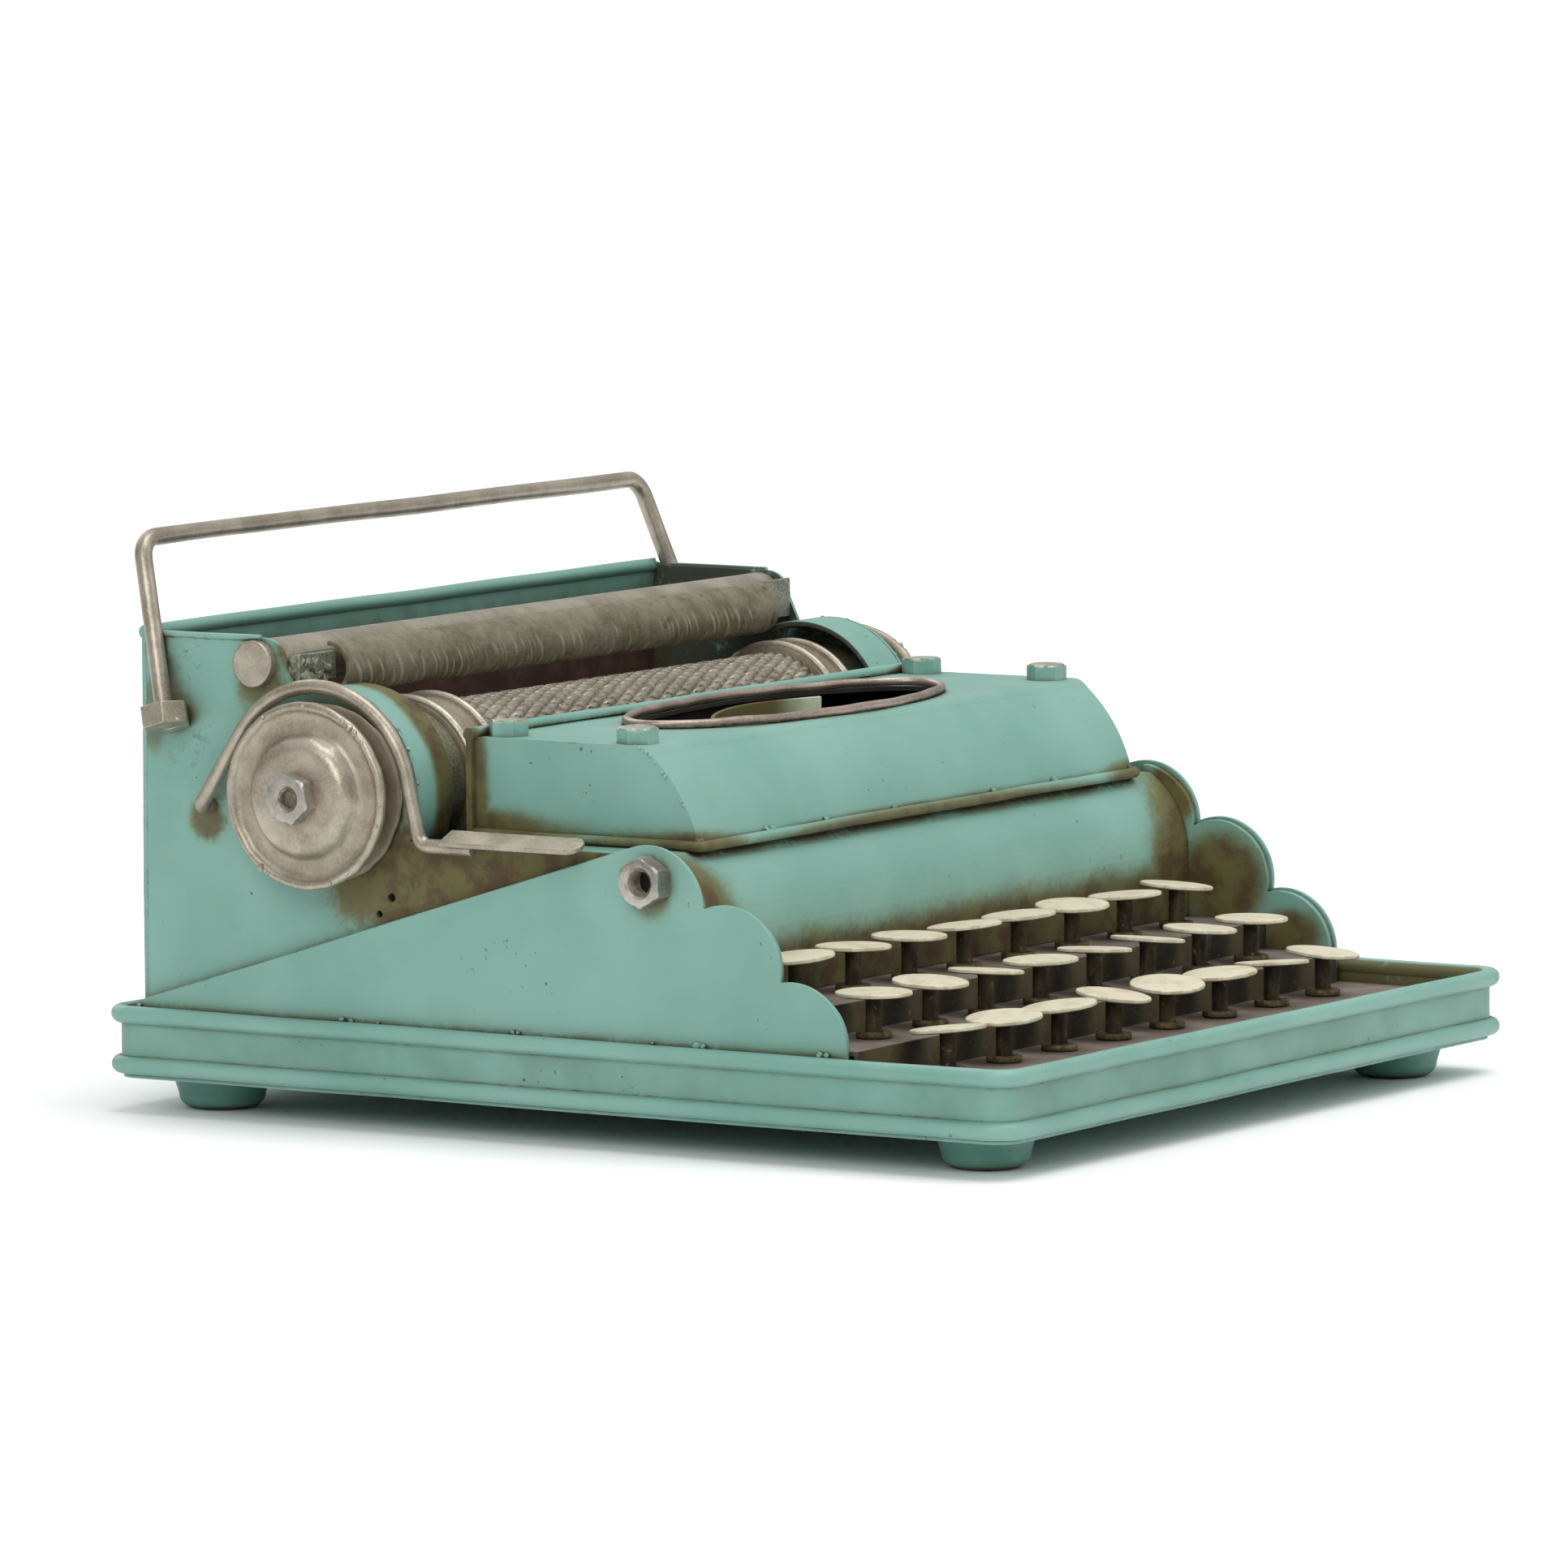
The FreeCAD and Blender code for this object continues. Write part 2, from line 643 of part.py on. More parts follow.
def key_deck():
    """Stepped deck with a hole for every key, and the apron in front of it."""
    t = SHEET
    front_y = -(TRAY_Y - WEB_SET - WEB)
    riser = [y + DISC_R + RISER_GAP + t for y in ROW_Y[:2]]
    low, mid, high = [top - KEY_HEIGHT for top in ROW_TOP]
    foot_y = COWL_BOW[-1][0] + t
    outline = profile(
        (riser[0] - t, low),
        (riser[0] - t, mid),
        (riser[1] - t, mid),
        (riser[1] - t, high),
        (foot_y, high),
        (foot_y, high - t),
        (riser[1], high - t),
        (riser[1], mid - t),
        (riser[0], mid - t),
        (riser[0], low - t),
        (riser[0] - t, low - t),
    )
    deck = slab(outline, -DECK_X, DECK_X)
    apron_x = TRAY_X - WEB_SET - WEB
    apron_back = LOBES[2][0] - LOBE_R - 0.3
    step_y = front_y + APRON_CORNER
    step_x = apron_x - APRON_CORNER
    deck = deck.fuse(box(V(-apron_x, step_y, low - t), V(apron_x, apron_back, low)))
    deck = deck.fuse(box(V(-step_x, front_y, low - t), V(step_x, step_y, low)))
    for _, _, x, y, top in key_places():
        hole = Part.makeCylinder(STEM_R + RUNNING, 4, V(x, y, top - KEY_HEIGHT - t - 1))
        deck = deck.cut(hole)
    return deck.removeSplitter()


def key(x, y, top):
    """Round disc on a pin, with a stop clip under the deck."""
    tread = top - KEY_HEIGHT
    disc = Part.makeCylinder(DISC_R, DISC_T, V(x, y, top - DISC_T))
    disc = disc.makeFillet(0.3, [disc.Edges[0], disc.Edges[2]])
    foot_z = tread - SHEET - STEM_BELOW
    stem = Part.makeCylinder(STEM_R, top - DISC_T - foot_z, V(x, y, foot_z))
    clip_top = tread - SHEET
    clip = Part.makeCylinder(CLIP_R, CLIP_T, V(x, y, clip_top - CLIP_T))
    clip = clip.cut(Part.makeCylinder(STEM_R, CLIP_T, V(x, y, clip_top - CLIP_T)))
    return [disc, stem, clip]


def key_collar(x, y, top):
    tread = top - KEY_HEIGHT
    ring = Part.makeCylinder(KEY_COLLAR_R, KEY_COLLAR_T, V(x, y, tread))
    ring = ring.cut(Part.makeCylinder(STEM_R + RUNNING, KEY_COLLAR_T, V(x, y, tread)))
    return ring


# ---- ribbon cover ----

def cover_profile(curve, rear, foot_z):
    """(y, z) outline of the cover, from its rear edge round to its foot."""
    top, first_middle, first_end, second_middle, second_end = curve
    return profile(
        (rear, foot_z),
        (rear, top[1]),
        top,
        (first_middle, first_end),
        (second_middle, second_end),
        (second_end[0], foot_z),
    )


def oval(half_x, half_y, z):
    ellipse = Part.Ellipse(V(*OPENING_C, z), half_x, half_y)
    return Part.Wire([ellipse.toShape()])


def ribbon_cover():
    shell = slab(cover_profile(COVER_CURVE, COVER_REAR, DECK_TOP), -COVER_X, COVER_X)
    hollow = cover_profile(COVER_CURVE_IN, COVER_REAR - SHEET, DECK_TOP - SHEET)
    shell = shell.cut(slab(hollow, -COVER_X + SHEET, COVER_X - SHEET))
    edge = oval(OPENING_X - TRIM_R, OPENING_Y - TRIM_R, COVER_TOP - 2 * SHEET)
    shell = shell.cut(Part.Face(edge).extrude(V(0, 0, 4 * SHEET)))
    for x, y in BOLT_XY:
        shell = shell.cut(Part.makeCylinder(BOLT_R, 2 * SHEET, V(x, y, COVER_TOP - 2 * SHEET)))
    roll_z = COVER_TOP + COVER_ROLL_R / 2
    roll_y = COVER_REAR + FLANGE_T / 2
    flange = box(V(-FLANGE_X, COVER_REAR, DECK_TOP), V(FLANGE_X, COVER_REAR + FLANGE_T, roll_z))
    roll = x_cylinder((roll_y, roll_z), COVER_ROLL_R, -FLANGE_X, FLANGE_X)
    return shell.fuse([flange, roll]).removeSplitter()


def cover_bead():
    side = COVER_X + COVER_BEAD_R
    front = COVER_FOOT_Y - COVER_BEAD_R
    z = DECK_TOP + COVER_BEAD_R
    corners = [(-side, COVER_REAR), (-side, front), (side, front), (side, COVER_REAR)]
    path = bent_path([V(x, y, z) for x, y in corners], 2.0)
    return round_wire(path, COVER_BEAD_R)


def opening_trim():
    return round_wire(oval(OPENING_X, OPENING_Y, COVER_TOP + TRIM_R), TRIM_R)


def cover_bolts():
    bolts = []
    for x, y in BOLT_XY:
        head = hexagon(BOLT_AF, BOLT_T, 0)
        shank = Part.makeCylinder(BOLT_R, BOLT_SHANK, V(0, 0, -BOLT_SHANK))
        bolt = head.fuse(shank)
        bolt.translate(V(x, y, COVER_TOP))
        bolts.append(bolt)
    return bolts


def type_sheet():
    """Upright curved sheet in the opening, where a type basket would be."""
    centre = V(*TYPE_SHEET_C, DECK_TOP)
    height = COVER_TOP - SHEET - TYPE_SHEET_GAP - DECK_TOP
    start, end = TYPE_SHEET_ARC
    sheet = Part.makeCylinder(TYPE_SHEET_R, height, centre, AXIS_Z, end - start)
    sheet = sheet.cut(Part.makeCylinder(TYPE_SHEET_R - SHEET, height, centre))
    sheet.rotate(centre, AXIS_Z, start)
    return sheet


def build_base():
    save("base_floor", base_floor())
    save("base_rim", base_rim())
    save("feet", *feet())


def build_cheeks():
    left, right = both_sides(left_cheek())
    save("left_cheek", left)
    save("right_cheek", right)
    save("cheek_liners", *both_sides(left_liner()))
    save("cheek_nuts", *both_sides(cheek_nut()))


def build_housing():
    save("left_side_plate", left_side_plate())
    save("right_side_plate", plain_side_plate().mirror(V(0, 0, 0), AXIS_X))
    save("rear_panel", rear_panel())
    left, right = both_sides(left_hood())
    save("left_end_hood", left)
    save("right_end_hood", right)
    save("scale_bar", scale_bar())
    save("scale_brackets", left_scale_bracket(), right_scale_bracket())
    save("rear_rod", rear_rod())
    save("handle", handle())
    save("handle_nuts", *both_sides(handle_nut()))


def build_platen():
    save("platen_shaft", x_cylinder(PLATEN_YZ, SHAFT_R, -SHAFT_END, SHAFT_END))
    save("platen_roller", drum(ROLLER_R, *ROLLER_X))
    save("platen_collars", *[platen_collar(*ends) for ends in COLLARS])
    save("platen_end_drums", *end_drums())
    left, right = both_sides(left_knob())
    save("left_knob", left)
    save("right_knob", right)
    save("knob_nuts", *both_sides(left_knob_nut()))


def build_lever():
    save("return_lever", lever_wire())
    save("lever_paddle", lever_paddle())


def build_keyboard():
    save("front_cowl", front_cowl())
    save("key_deck", key_deck())
    collars = []
    for row, column, x, y, top in key_places():
        save("key_r{}_{}".format(row, column), *key(x, y, top))
        collars.append(key_collar(x, y, top))
    save("key_collars", *collars)


def build_cover():
    save("ribbon_cover", ribbon_cover())
    save("cover_bead", cover_bead())
    save("opening_trim", opening_trim())
    save("cover_bolts", *cover_bolts())
    save("type_sheet", type_sheet())


build_base()
build_cheeks()
build_housing()
build_platen()
build_lever()
build_keyboard()
build_cover()
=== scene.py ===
import json
import math

import bmesh
import bpy
from mathutils import Matrix, Vector, noise

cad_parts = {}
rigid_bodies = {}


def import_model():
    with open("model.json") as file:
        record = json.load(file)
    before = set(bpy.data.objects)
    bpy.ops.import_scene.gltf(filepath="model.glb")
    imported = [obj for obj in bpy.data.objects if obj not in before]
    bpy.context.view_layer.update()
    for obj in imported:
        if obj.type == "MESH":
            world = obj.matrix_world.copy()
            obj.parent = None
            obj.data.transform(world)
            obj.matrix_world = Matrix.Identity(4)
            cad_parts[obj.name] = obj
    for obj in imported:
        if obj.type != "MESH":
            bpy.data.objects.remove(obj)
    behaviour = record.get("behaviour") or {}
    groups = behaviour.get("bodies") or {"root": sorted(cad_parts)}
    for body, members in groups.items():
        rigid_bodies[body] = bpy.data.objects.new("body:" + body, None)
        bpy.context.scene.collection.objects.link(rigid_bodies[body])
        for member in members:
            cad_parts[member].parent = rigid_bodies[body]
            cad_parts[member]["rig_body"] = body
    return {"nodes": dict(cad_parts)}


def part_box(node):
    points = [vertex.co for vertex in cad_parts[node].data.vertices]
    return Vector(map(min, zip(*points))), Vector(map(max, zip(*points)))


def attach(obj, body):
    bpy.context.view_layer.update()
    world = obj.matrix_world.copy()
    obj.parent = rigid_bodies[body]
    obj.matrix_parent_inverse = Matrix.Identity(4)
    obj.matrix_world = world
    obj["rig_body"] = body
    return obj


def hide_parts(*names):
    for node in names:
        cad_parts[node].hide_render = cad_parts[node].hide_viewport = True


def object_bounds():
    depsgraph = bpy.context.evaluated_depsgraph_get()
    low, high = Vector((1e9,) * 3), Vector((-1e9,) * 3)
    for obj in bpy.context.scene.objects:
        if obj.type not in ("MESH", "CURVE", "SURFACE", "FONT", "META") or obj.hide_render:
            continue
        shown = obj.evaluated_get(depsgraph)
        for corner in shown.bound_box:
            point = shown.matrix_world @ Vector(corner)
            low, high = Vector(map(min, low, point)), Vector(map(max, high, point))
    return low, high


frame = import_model()
NODES = frame["nodes"]
CAD_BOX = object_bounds()
MM = 0.001
PAD = 0.05 * MM
NODES_MADE = {}

# ---- colours, linear ----
MINT_DEEP = (0.165, 0.350, 0.290, 1)
MINT_LIGHT = (0.212, 0.405, 0.345, 1)
MINT_GREY = (0.225, 0.355, 0.280, 1)
# painted shade for the recessed web of the rim
MINT_WEB_SHADE = (0.100, 0.225, 0.165, 1)
TEAL_FOOT = (0.085, 0.235, 0.190, 1)
GLAZE = (0.135, 0.168, 0.070, 1)
OLIVE_WASH = (0.118, 0.098, 0.024, 1)
BROWN_WASH = (0.074, 0.036, 0.009, 1)
# painted shade in tight creases and knurl grooves
CREASE_SHADE = (0.020, 0.016, 0.010, 1)
CHIP = (0.095, 0.060, 0.045, 1)
BRONZE = (0.455, 0.410, 0.325, 1)
BRONZE_DEEP = (0.300, 0.260, 0.195, 1)
RUST = (0.150, 0.058, 0.022, 1)
BARE = (0.600, 0.560, 0.500, 1)
CREAM = (0.640, 0.590, 0.440, 1)
CREAM_DIRTY = (0.420, 0.345, 0.200, 1)
TAUPE = (0.200, 0.165, 0.135, 1)
OLIVE = (0.080, 0.062, 0.024, 1)
OLIVE_DARK = (0.018, 0.014, 0.008, 1)
BRASS = (0.220, 0.165, 0.075, 1)
SCALE_DARK = (0.135, 0.120, 0.070, 1)
SCALE_PALE = (0.420, 0.390, 0.280, 1)
RUST_PANEL = (0.046, 0.018, 0.011, 1)
# painted shade on faces that look into the body
WELL_SHADE = (0.040, 0.030, 0.014, 1)
BRUISE = (0.030, 0.055, 0.060, 1)


# ---- materials ----

class Paint:
    """One node material, built from short calls."""

    def __init__(self, name):
        self.material = bpy.data.materials.new(name)
        self.material.use_nodes = True
        self.tree = self.material.node_tree
        self.shader = self.tree.nodes["Principled BSDF"]
        self.place = self.tree.nodes.new("ShaderNodeTexCoord").outputs["Object"]
        self.geometry = self.tree.nodes.new("ShaderNodeNewGeometry")

    def put(self, socket, value):
        if isinstance(value, bpy.types.NodeSocket):
            self.tree.links.new(value, socket)
        else:
            socket.default_value = value

    def math(self, operation, first, second=0.0):
        node = self.tree.nodes.new("ShaderNodeMath")
        node.operation = operation
        self.put(node.inputs[0], first)
        self.put(node.inputs[1], second)
        return node.outputs[0]

    def times(self, *values):
        result = values[0]
        for value in values[1:]:
            result = self.math("MULTIPLY", result, value)
        return result

    def most(self, *values):
        result = values[0]
        for value in values[1:]:
            result = self.math("MAXIMUM", result, value)
        return result

    def span(self, value, start, end):
        """0 at start and 1 at end, smooth between."""
        node = self.tree.nodes.new("ShaderNodeMapRange")
        node.interpolation_type = "SMOOTHSTEP"
        self.put(node.inputs[0], value)
        node.inputs[1].default_value = start
        node.inputs[2].default_value = end
        return node.outputs[0]

    def stretched(self, stretch, shift):
        node = self.tree.nodes.new("ShaderNodeMapping")
        self.put(node.inputs["Vector"], self.place)
        node.inputs["Location"].default_value = (shift, shift * 0.7, shift * 0.4)
        node.inputs["Scale"].default_value = stretch
        return node.outputs[0]

    def noise(self, size, detail=3.0, rough=0.55, stretch=(1, 1, 1), shift=0.0):
        """Soft noise whose features are about size mm."""
        node = self.tree.nodes.new("ShaderNodeTexNoise")
        self.put(node.inputs["Vector"], self.stretched(stretch, shift))
        node.inputs["Scale"].default_value = 1 / (size * MM)
        node.inputs["Detail"].default_value = detail
        node.inputs["Roughness"].default_value = rough
        return node.outputs["Fac"]

    def mix(self, amount, first, second):
        node = self.tree.nodes.new("ShaderNodeMix")
        node.data_type = "RGBA"
        self.put(node.inputs["Factor"], amount)
        self.put(node.inputs[6], first)
        self.put(node.inputs[7], second)
        return node.outputs[2]

    def axis(self, index, source=None):
        node = self.tree.nodes.new("ShaderNodeSeparateXYZ")
        self.put(node.inputs[0], source or self.place)
        return node.outputs[index]

    def facing(self, index):
        return self.axis(index, self.geometry.outputs["Normal"])

    def blob(self, centre, radii):
        """1 at a centre, falling to 0 at the radii."""
        shift = self.tree.nodes.new("ShaderNodeVectorMath")
        shift.operation = "SUBTRACT"
        self.put(shift.inputs[0], self.place)
        shift.inputs[1].default_value = centre
        shrink = self.tree.nodes.new("ShaderNodeVectorMath")
        shrink.operation = "DIVIDE"
        self.put(shrink.inputs[0], shift.outputs[0])
        shrink.inputs[1].default_value = radii
        size = self.tree.nodes.new("ShaderNodeVectorMath")
        size.operation = "LENGTH"
        self.put(size.inputs[0], shrink.outputs[0])
        return self.span(size.outputs["Value"], 1.0, 0.15)

    def corner(self, reach):
        """1 deep in a corner, 0 in the open, felt over reach mm."""
        node = self.tree.nodes.new("ShaderNodeAmbientOcclusion")
        node.samples = 6
        node.inputs["Distance"].default_value = reach * MM
        return self.math("SUBTRACT", 1.0, node.outputs["AO"])

    def edge(self, radius):
        """1 on an edge of about radius mm."""
        node = self.tree.nodes.new("ShaderNodeBevel")
        node.samples = 4
        node.inputs["Radius"].default_value = radius * MM
        turn = self.tree.nodes.new("ShaderNodeVectorMath")
        turn.operation = "DOT_PRODUCT"
        self.put(turn.inputs[0], node.outputs[0])
        self.put(turn.inputs[1], self.geometry.outputs["Normal"])
        return self.span(turn.outputs["Value"], 0.995, 0.93)

    def bump(self, height, depth, after=None):
        node = self.tree.nodes.new("ShaderNodeBump")
        node.inputs["Distance"].default_value = depth * MM
        self.put(node.inputs["Height"], height)
        if after:
            self.put(node.inputs["Normal"], after)
        return node.outputs[0]

    def done(self, colour, rough, normal, metal=0.0):
        self.put(self.shader.inputs["Base Color"], colour)
        self.put(self.shader.inputs["Roughness"], rough)
        self.put(self.shader.inputs["Normal"], normal)
        self.put(self.shader.inputs["Metallic"], metal)
        return self.material


def mint(name, blobs=(), deep=MINT_DEEP, light=MINT_LIGHT, wash=1.0, reach=6.0, ragged=0.22, web_shade_band=None, bruises=(), inner=None):
    """Satin mint paint with an airbrushed brown wash in its corners, chips and specks, and painted shade near black in
    tight creases and darker on a recessed web band; faces that look into the body take a given inner colour.
    """
    p = Paint(name)
    colour = p.mix(p.span(p.noise(45, 3), 0.34, 0.66), deep, light)
    mottle = p.times(p.span(p.noise(6, 4, 0.65, shift=3.0), 0.50, 0.78), 0.30)
    colour = p.mix(mottle, colour, MINT_GREY)
    # painted shade: the recessed web between the rim's two beads is darkened
    if web_shade_band:
        low, high = web_shade_band
        web_shade = p.times(p.span(p.axis(2), low - MM, low + MM), p.span(p.axis(2), high + MM, high - MM))
        colour = p.mix(p.times(web_shade, p.span(p.noise(20, 3), 0.25, 0.75), 0.62), colour, MINT_WEB_SHADE)
    broken = p.math("ADD", p.times(p.noise(15, 3, 0.6, shift=7.0), 0.6), p.times(p.noise(1.8, 3, 0.7), 0.4))
    near = p.times(p.span(p.corner(reach), 0.18, 0.66), p.span(broken, 0.30, 0.58), wash)
    amount = near
    # each blob adds wash: stains, and on the cheeks a painted shadow below each nut
    for centre, radii, strength in blobs:
        torn = p.math("ADD", p.blob(centre, radii), p.times(p.math("SUBTRACT", broken, 0.5), ragged * 3))
        amount = p.most(amount, p.times(p.span(torn, -0.05, 0.95), strength))
    brown = p.mix(p.span(p.noise(9, 4, 0.65, shift=11.0), 0.42, 0.6), OLIVE_WASH, BROWN_WASH)
    colour = p.mix(p.times(p.span(amount, 0.0, 0.75), 0.9), colour, GLAZE)
    colour = p.mix(p.times(p.span(amount, 0.25, 0.95), 0.92), colour, brown)
    # faces that look into the body take the inner colour: near-black painted shade on the side plates and hoods, the
    # brown wash on the rim
    if inner:
        inward = p.span(p.times(p.facing(0), p.axis(0)), -0.04, -0.08)
        colour = p.mix(p.times(inward, p.span(broken, 0.30, 0.46), 0.9), colour, inner)
    for centre, radii, strength in bruises:
        scuffs = p.span(p.noise(1.9, 4, 0.7, shift=41.0), 0.55, 0.63)
        colour = p.mix(p.times(p.blob(centre, radii), scuffs, strength), colour, BRUISE)
    # painted shade: near black deep in tight corners and creases
    crease_shade = p.span(p.corner(2.2), 0.42, 0.8)
    colour = p.mix(p.times(crease_shade, 0.85), colour, CREASE_SHADE)
    rubbed = p.times(p.edge(0.7), p.span(p.noise(3.2, 4, 0.7, shift=17.0), 0.53, 0.62))
    chips = p.times(rubbed, p.span(p.noise(26, 2, shift=23.0), 0.44, 0.58))
    specks = p.span(p.noise(1.6, 2, 0.6, shift=29.0), 0.70, 0.75)
    specks = p.times(specks, p.span(p.noise(19, 2, shift=31.0), 0.5, 0.62))
    bare = p.most(chips, specks)
    colour = p.mix(p.times(bare, 0.85), colour, CHIP)
    rough = p.mix(amount, (0.42, 0.42, 0.42, 1), (0.66, 0.66, 0.66, 1))
    grain = p.bump(p.noise(0.5, 2, 0.6), 0.035)
    dents = p.bump(p.noise(17, 2, shift=37.0), 0.45, grain)
    chipped = p.bump(p.math("SUBTRACT", 1.0, bare), 0.12, dents)
    return p.done(colour, rough, chipped)


def bronze(name, light=BRONZE, deep=BRONZE_DEEP, dirt=1.0, metal=0.72, blobs=(), reach=4.0, groove_shade=0.0):
    """Silver-bronze metallic paint: grainy, worn bright on edges, rusty in corners, with painted shade in grooves when
    asked for.
    """
    p = Paint(name)
    colour = p.mix(p.span(p.noise(9, 4, 0.6), 0.35, 0.68), deep, light)
    grain = p.noise(0.6, 3, 0.7, shift=5.0)
    colour = p.mix(p.times(p.span(grain, 0.4, 0.7), 0.3), colour, BARE)
    dirty = p.times(p.span(p.corner(reach), 0.2, 0.7), p.span(p.noise(4, 4, 0.6, shift=9.0), 0.3, 0.6))
    dirty = p.times(dirty, dirt)
    for centre, radii, strength in blobs:
        dirty = p.most(dirty, p.times(p.blob(centre, radii), strength))
    brown = p.mix(p.span(p.noise(5, 3, shift=13.0), 0.42, 0.6), BROWN_WASH, RUST)
    colour = p.mix(p.times(dirty, 0.8), colour, brown)
    # painted shade: darkens the knurl's grooves
    if groove_shade:
        colour = p.mix(p.times(p.span(p.corner(groove_shade), 0.12, 0.5), 0.85), colour, CREASE_SHADE)
    shine = p.times(p.edge(0.5), p.span(p.noise(2.5, 3, shift=19.0), 0.42, 0.60))
    colour = p.mix(p.times(shine, 0.7), colour, BARE)
    rough = p.math("ADD", p.times(grain, 0.22), p.math("ADD", 0.24, p.times(dirty, 0.35)))
    normal = p.bump(grain, 0.07, p.bump(p.noise(3.5, 3, shift=21.0), 0.12))
    return p.done(colour, rough, normal, p.math("MULTIPLY", p.math("SUBTRACT", 1.0, dirty), metal))


def cream(name):
    """Cream enamel on a key top: brushed, dirty round the rim, teal or rust showing there."""
    p = Paint(name)
    colour = p.mix(p.span(p.noise(5, 4, 0.65), 0.42, 0.72), CREAM, CREAM_DIRTY)
    colour = p.mix(0.45, colour, CREAM)
    rim = p.times(p.edge(0.8), p.span(p.noise(3.6, 3, 0.6, shift=4.0), 0.44, 0.56))
    under = p.mix(p.span(p.noise(30, 1, shift=8.0), 0.46, 0.54), (0.130, 0.270, 0.225, 1), (0.190, 0.090, 0.035, 1))
    colour = p.mix(p.times(rim, 0.85), colour, under)
    below = p.span(p.facing(2), 0.0, -0.4)
    colour = p.mix(p.times(below, 0.75), colour, OLIVE)
    normal = p.bump(p.noise(0.7, 3, 0.7, shift=12.0), 0.05, p.bump(p.noise(4, 2), 0.08))
    return p.done(colour, p.span(p.noise(2.4, 3), -0.3, 1.1), normal)


def stem_paint(name):
    p = Paint(name)
    colour = p.mix(p.span(p.noise(3.2, 4, 0.65, stretch=(1, 1, 0.4)), 0.35, 0.68), OLIVE_DARK, OLIVE)
    colour = p.mix(p.span(p.noise(1.8, 3, shift=6.0), 0.62, 0.74), colour, BRASS)
    return p.done(colour, p.span(p.noise(2.0, 3), -0.2, 1.0), p.bump(p.noise(0.8, 3, 0.7), 0.08), 0.25)


def collar_paint(name):
    p = Paint(name)
    colour = p.mix(p.span(p.noise(2.2, 4, 0.65), 0.38, 0.66), OLIVE, BRASS)
    # painted shade: near black in the corners round the collar
    colour = p.mix(p.span(p.corner(2.5), 0.3, 0.8), colour, OLIVE_DARK)
    return p.done(colour, p.span(p.noise(1.6, 3), -0.2, 1.0), p.bump(p.noise(0.7, 3, 0.7), 0.08), 0.35)


def deck_paint(name, pitch):
    """Taupe treads and olive risers, with a painted shadow behind every key stem and painted shade in the step
    corners.
    """
    p = Paint(name)
    riser = p.span(p.math("ABSOLUTE", p.facing(1)), 0.4, 0.8)
    dusty = p.mix(p.span(p.noise(14, 4, 0.6), 0.36, 0.64), TAUPE, (0.150, 0.112, 0.088, 1))
    green = p.mix(p.span(p.noise(10, 4, 0.6, shift=5.0), 0.36, 0.64), OLIVE, (0.110, 0.095, 0.045, 1))
    colour = p.mix(riser, dusty, green)
    # painted shadow: a dark patch on the risers behind every key stem, repeating with the key pitch, plus painted
    # shade in the step corners
    wave = p.math("COSINE", p.times(p.axis(0), 2 * math.pi / pitch))
    pin_shadow = p.span(p.math("ADD", wave, p.times(p.noise(6, 3, shift=9.0), 0.9)), 0.9, -0.75)
    shadow_and_corner_shade = p.most(p.times(pin_shadow, riser), p.times(p.span(p.corner(7), 0.25, 0.8), 0.8))
    colour = p.mix(p.times(shadow_and_corner_shade, 0.88), colour, OLIVE_DARK)
    specks = p.span(p.noise(1.5, 2, shift=15.0), 0.66, 0.74)
    colour = p.mix(p.times(specks, 0.6), colour, BRASS)
    normal = p.bump(p.noise(0.6, 3, 0.7), 0.05, p.bump(p.noise(12, 2), 0.3))
    return p.done(colour, p.span(p.noise(5, 3), -0.4, 1.0), normal)


def scale_paint(name, middle_z):
    """Dark mottled olive-taupe bar with thin slanted strokes low on its face."""
    p = Paint(name)
    colour = p.mix(p.span(p.noise(9, 4, 0.65), 0.36, 0.64), SCALE_DARK, (0.225, 0.195, 0.145, 1))
    colour = p.mix(p.times(p.span(p.noise(2.2, 4, 0.7, shift=6.0), 0.42, 0.7), 0.5), colour, (0.260, 0.250, 0.150, 1))
    leaning = p.math("ADD", p.axis(0), p.times(p.axis(2), 0.6))
    joined = p.tree.nodes.new("ShaderNodeCombineXYZ")
    p.put(joined.inputs[0], p.times(leaning, 1 / (1.5 * MM)))
    p.put(joined.inputs[1], p.times(p.axis(2), 1 / (14 * MM)))
    marks = p.tree.nodes.new("ShaderNodeTexNoise")
    p.put(marks.inputs["Vector"], joined.outputs[0])
    marks.inputs["Scale"].default_value = 1.0
    marks.inputs["Detail"].default_value = 1
    low = p.span(p.axis(2), middle_z + 3 * MM, middle_z - 0.5 * MM)
    lines = p.times(p.span(marks.outputs["Fac"], 0.53, 0.62), p.span(p.noise(10, 3, shift=4.0), 0.36, 0.50), low)
    colour = p.mix(p.times(lines, 0.7), colour, SCALE_PALE)
    spots = p.span(p.noise(4.5, 3, shift=14.0), 0.62, 0.72)
    colour = p.mix(p.times(spots, 0.5), colour, OLIVE_DARK)
    normal = p.bump(marks.outputs["Fac"], 0.05, p.bump(p.noise(0.8, 3, 0.7), 0.06))
    return p.done(colour, p.span(p.noise(3, 3), -0.5, 1.0), normal, 0.3)


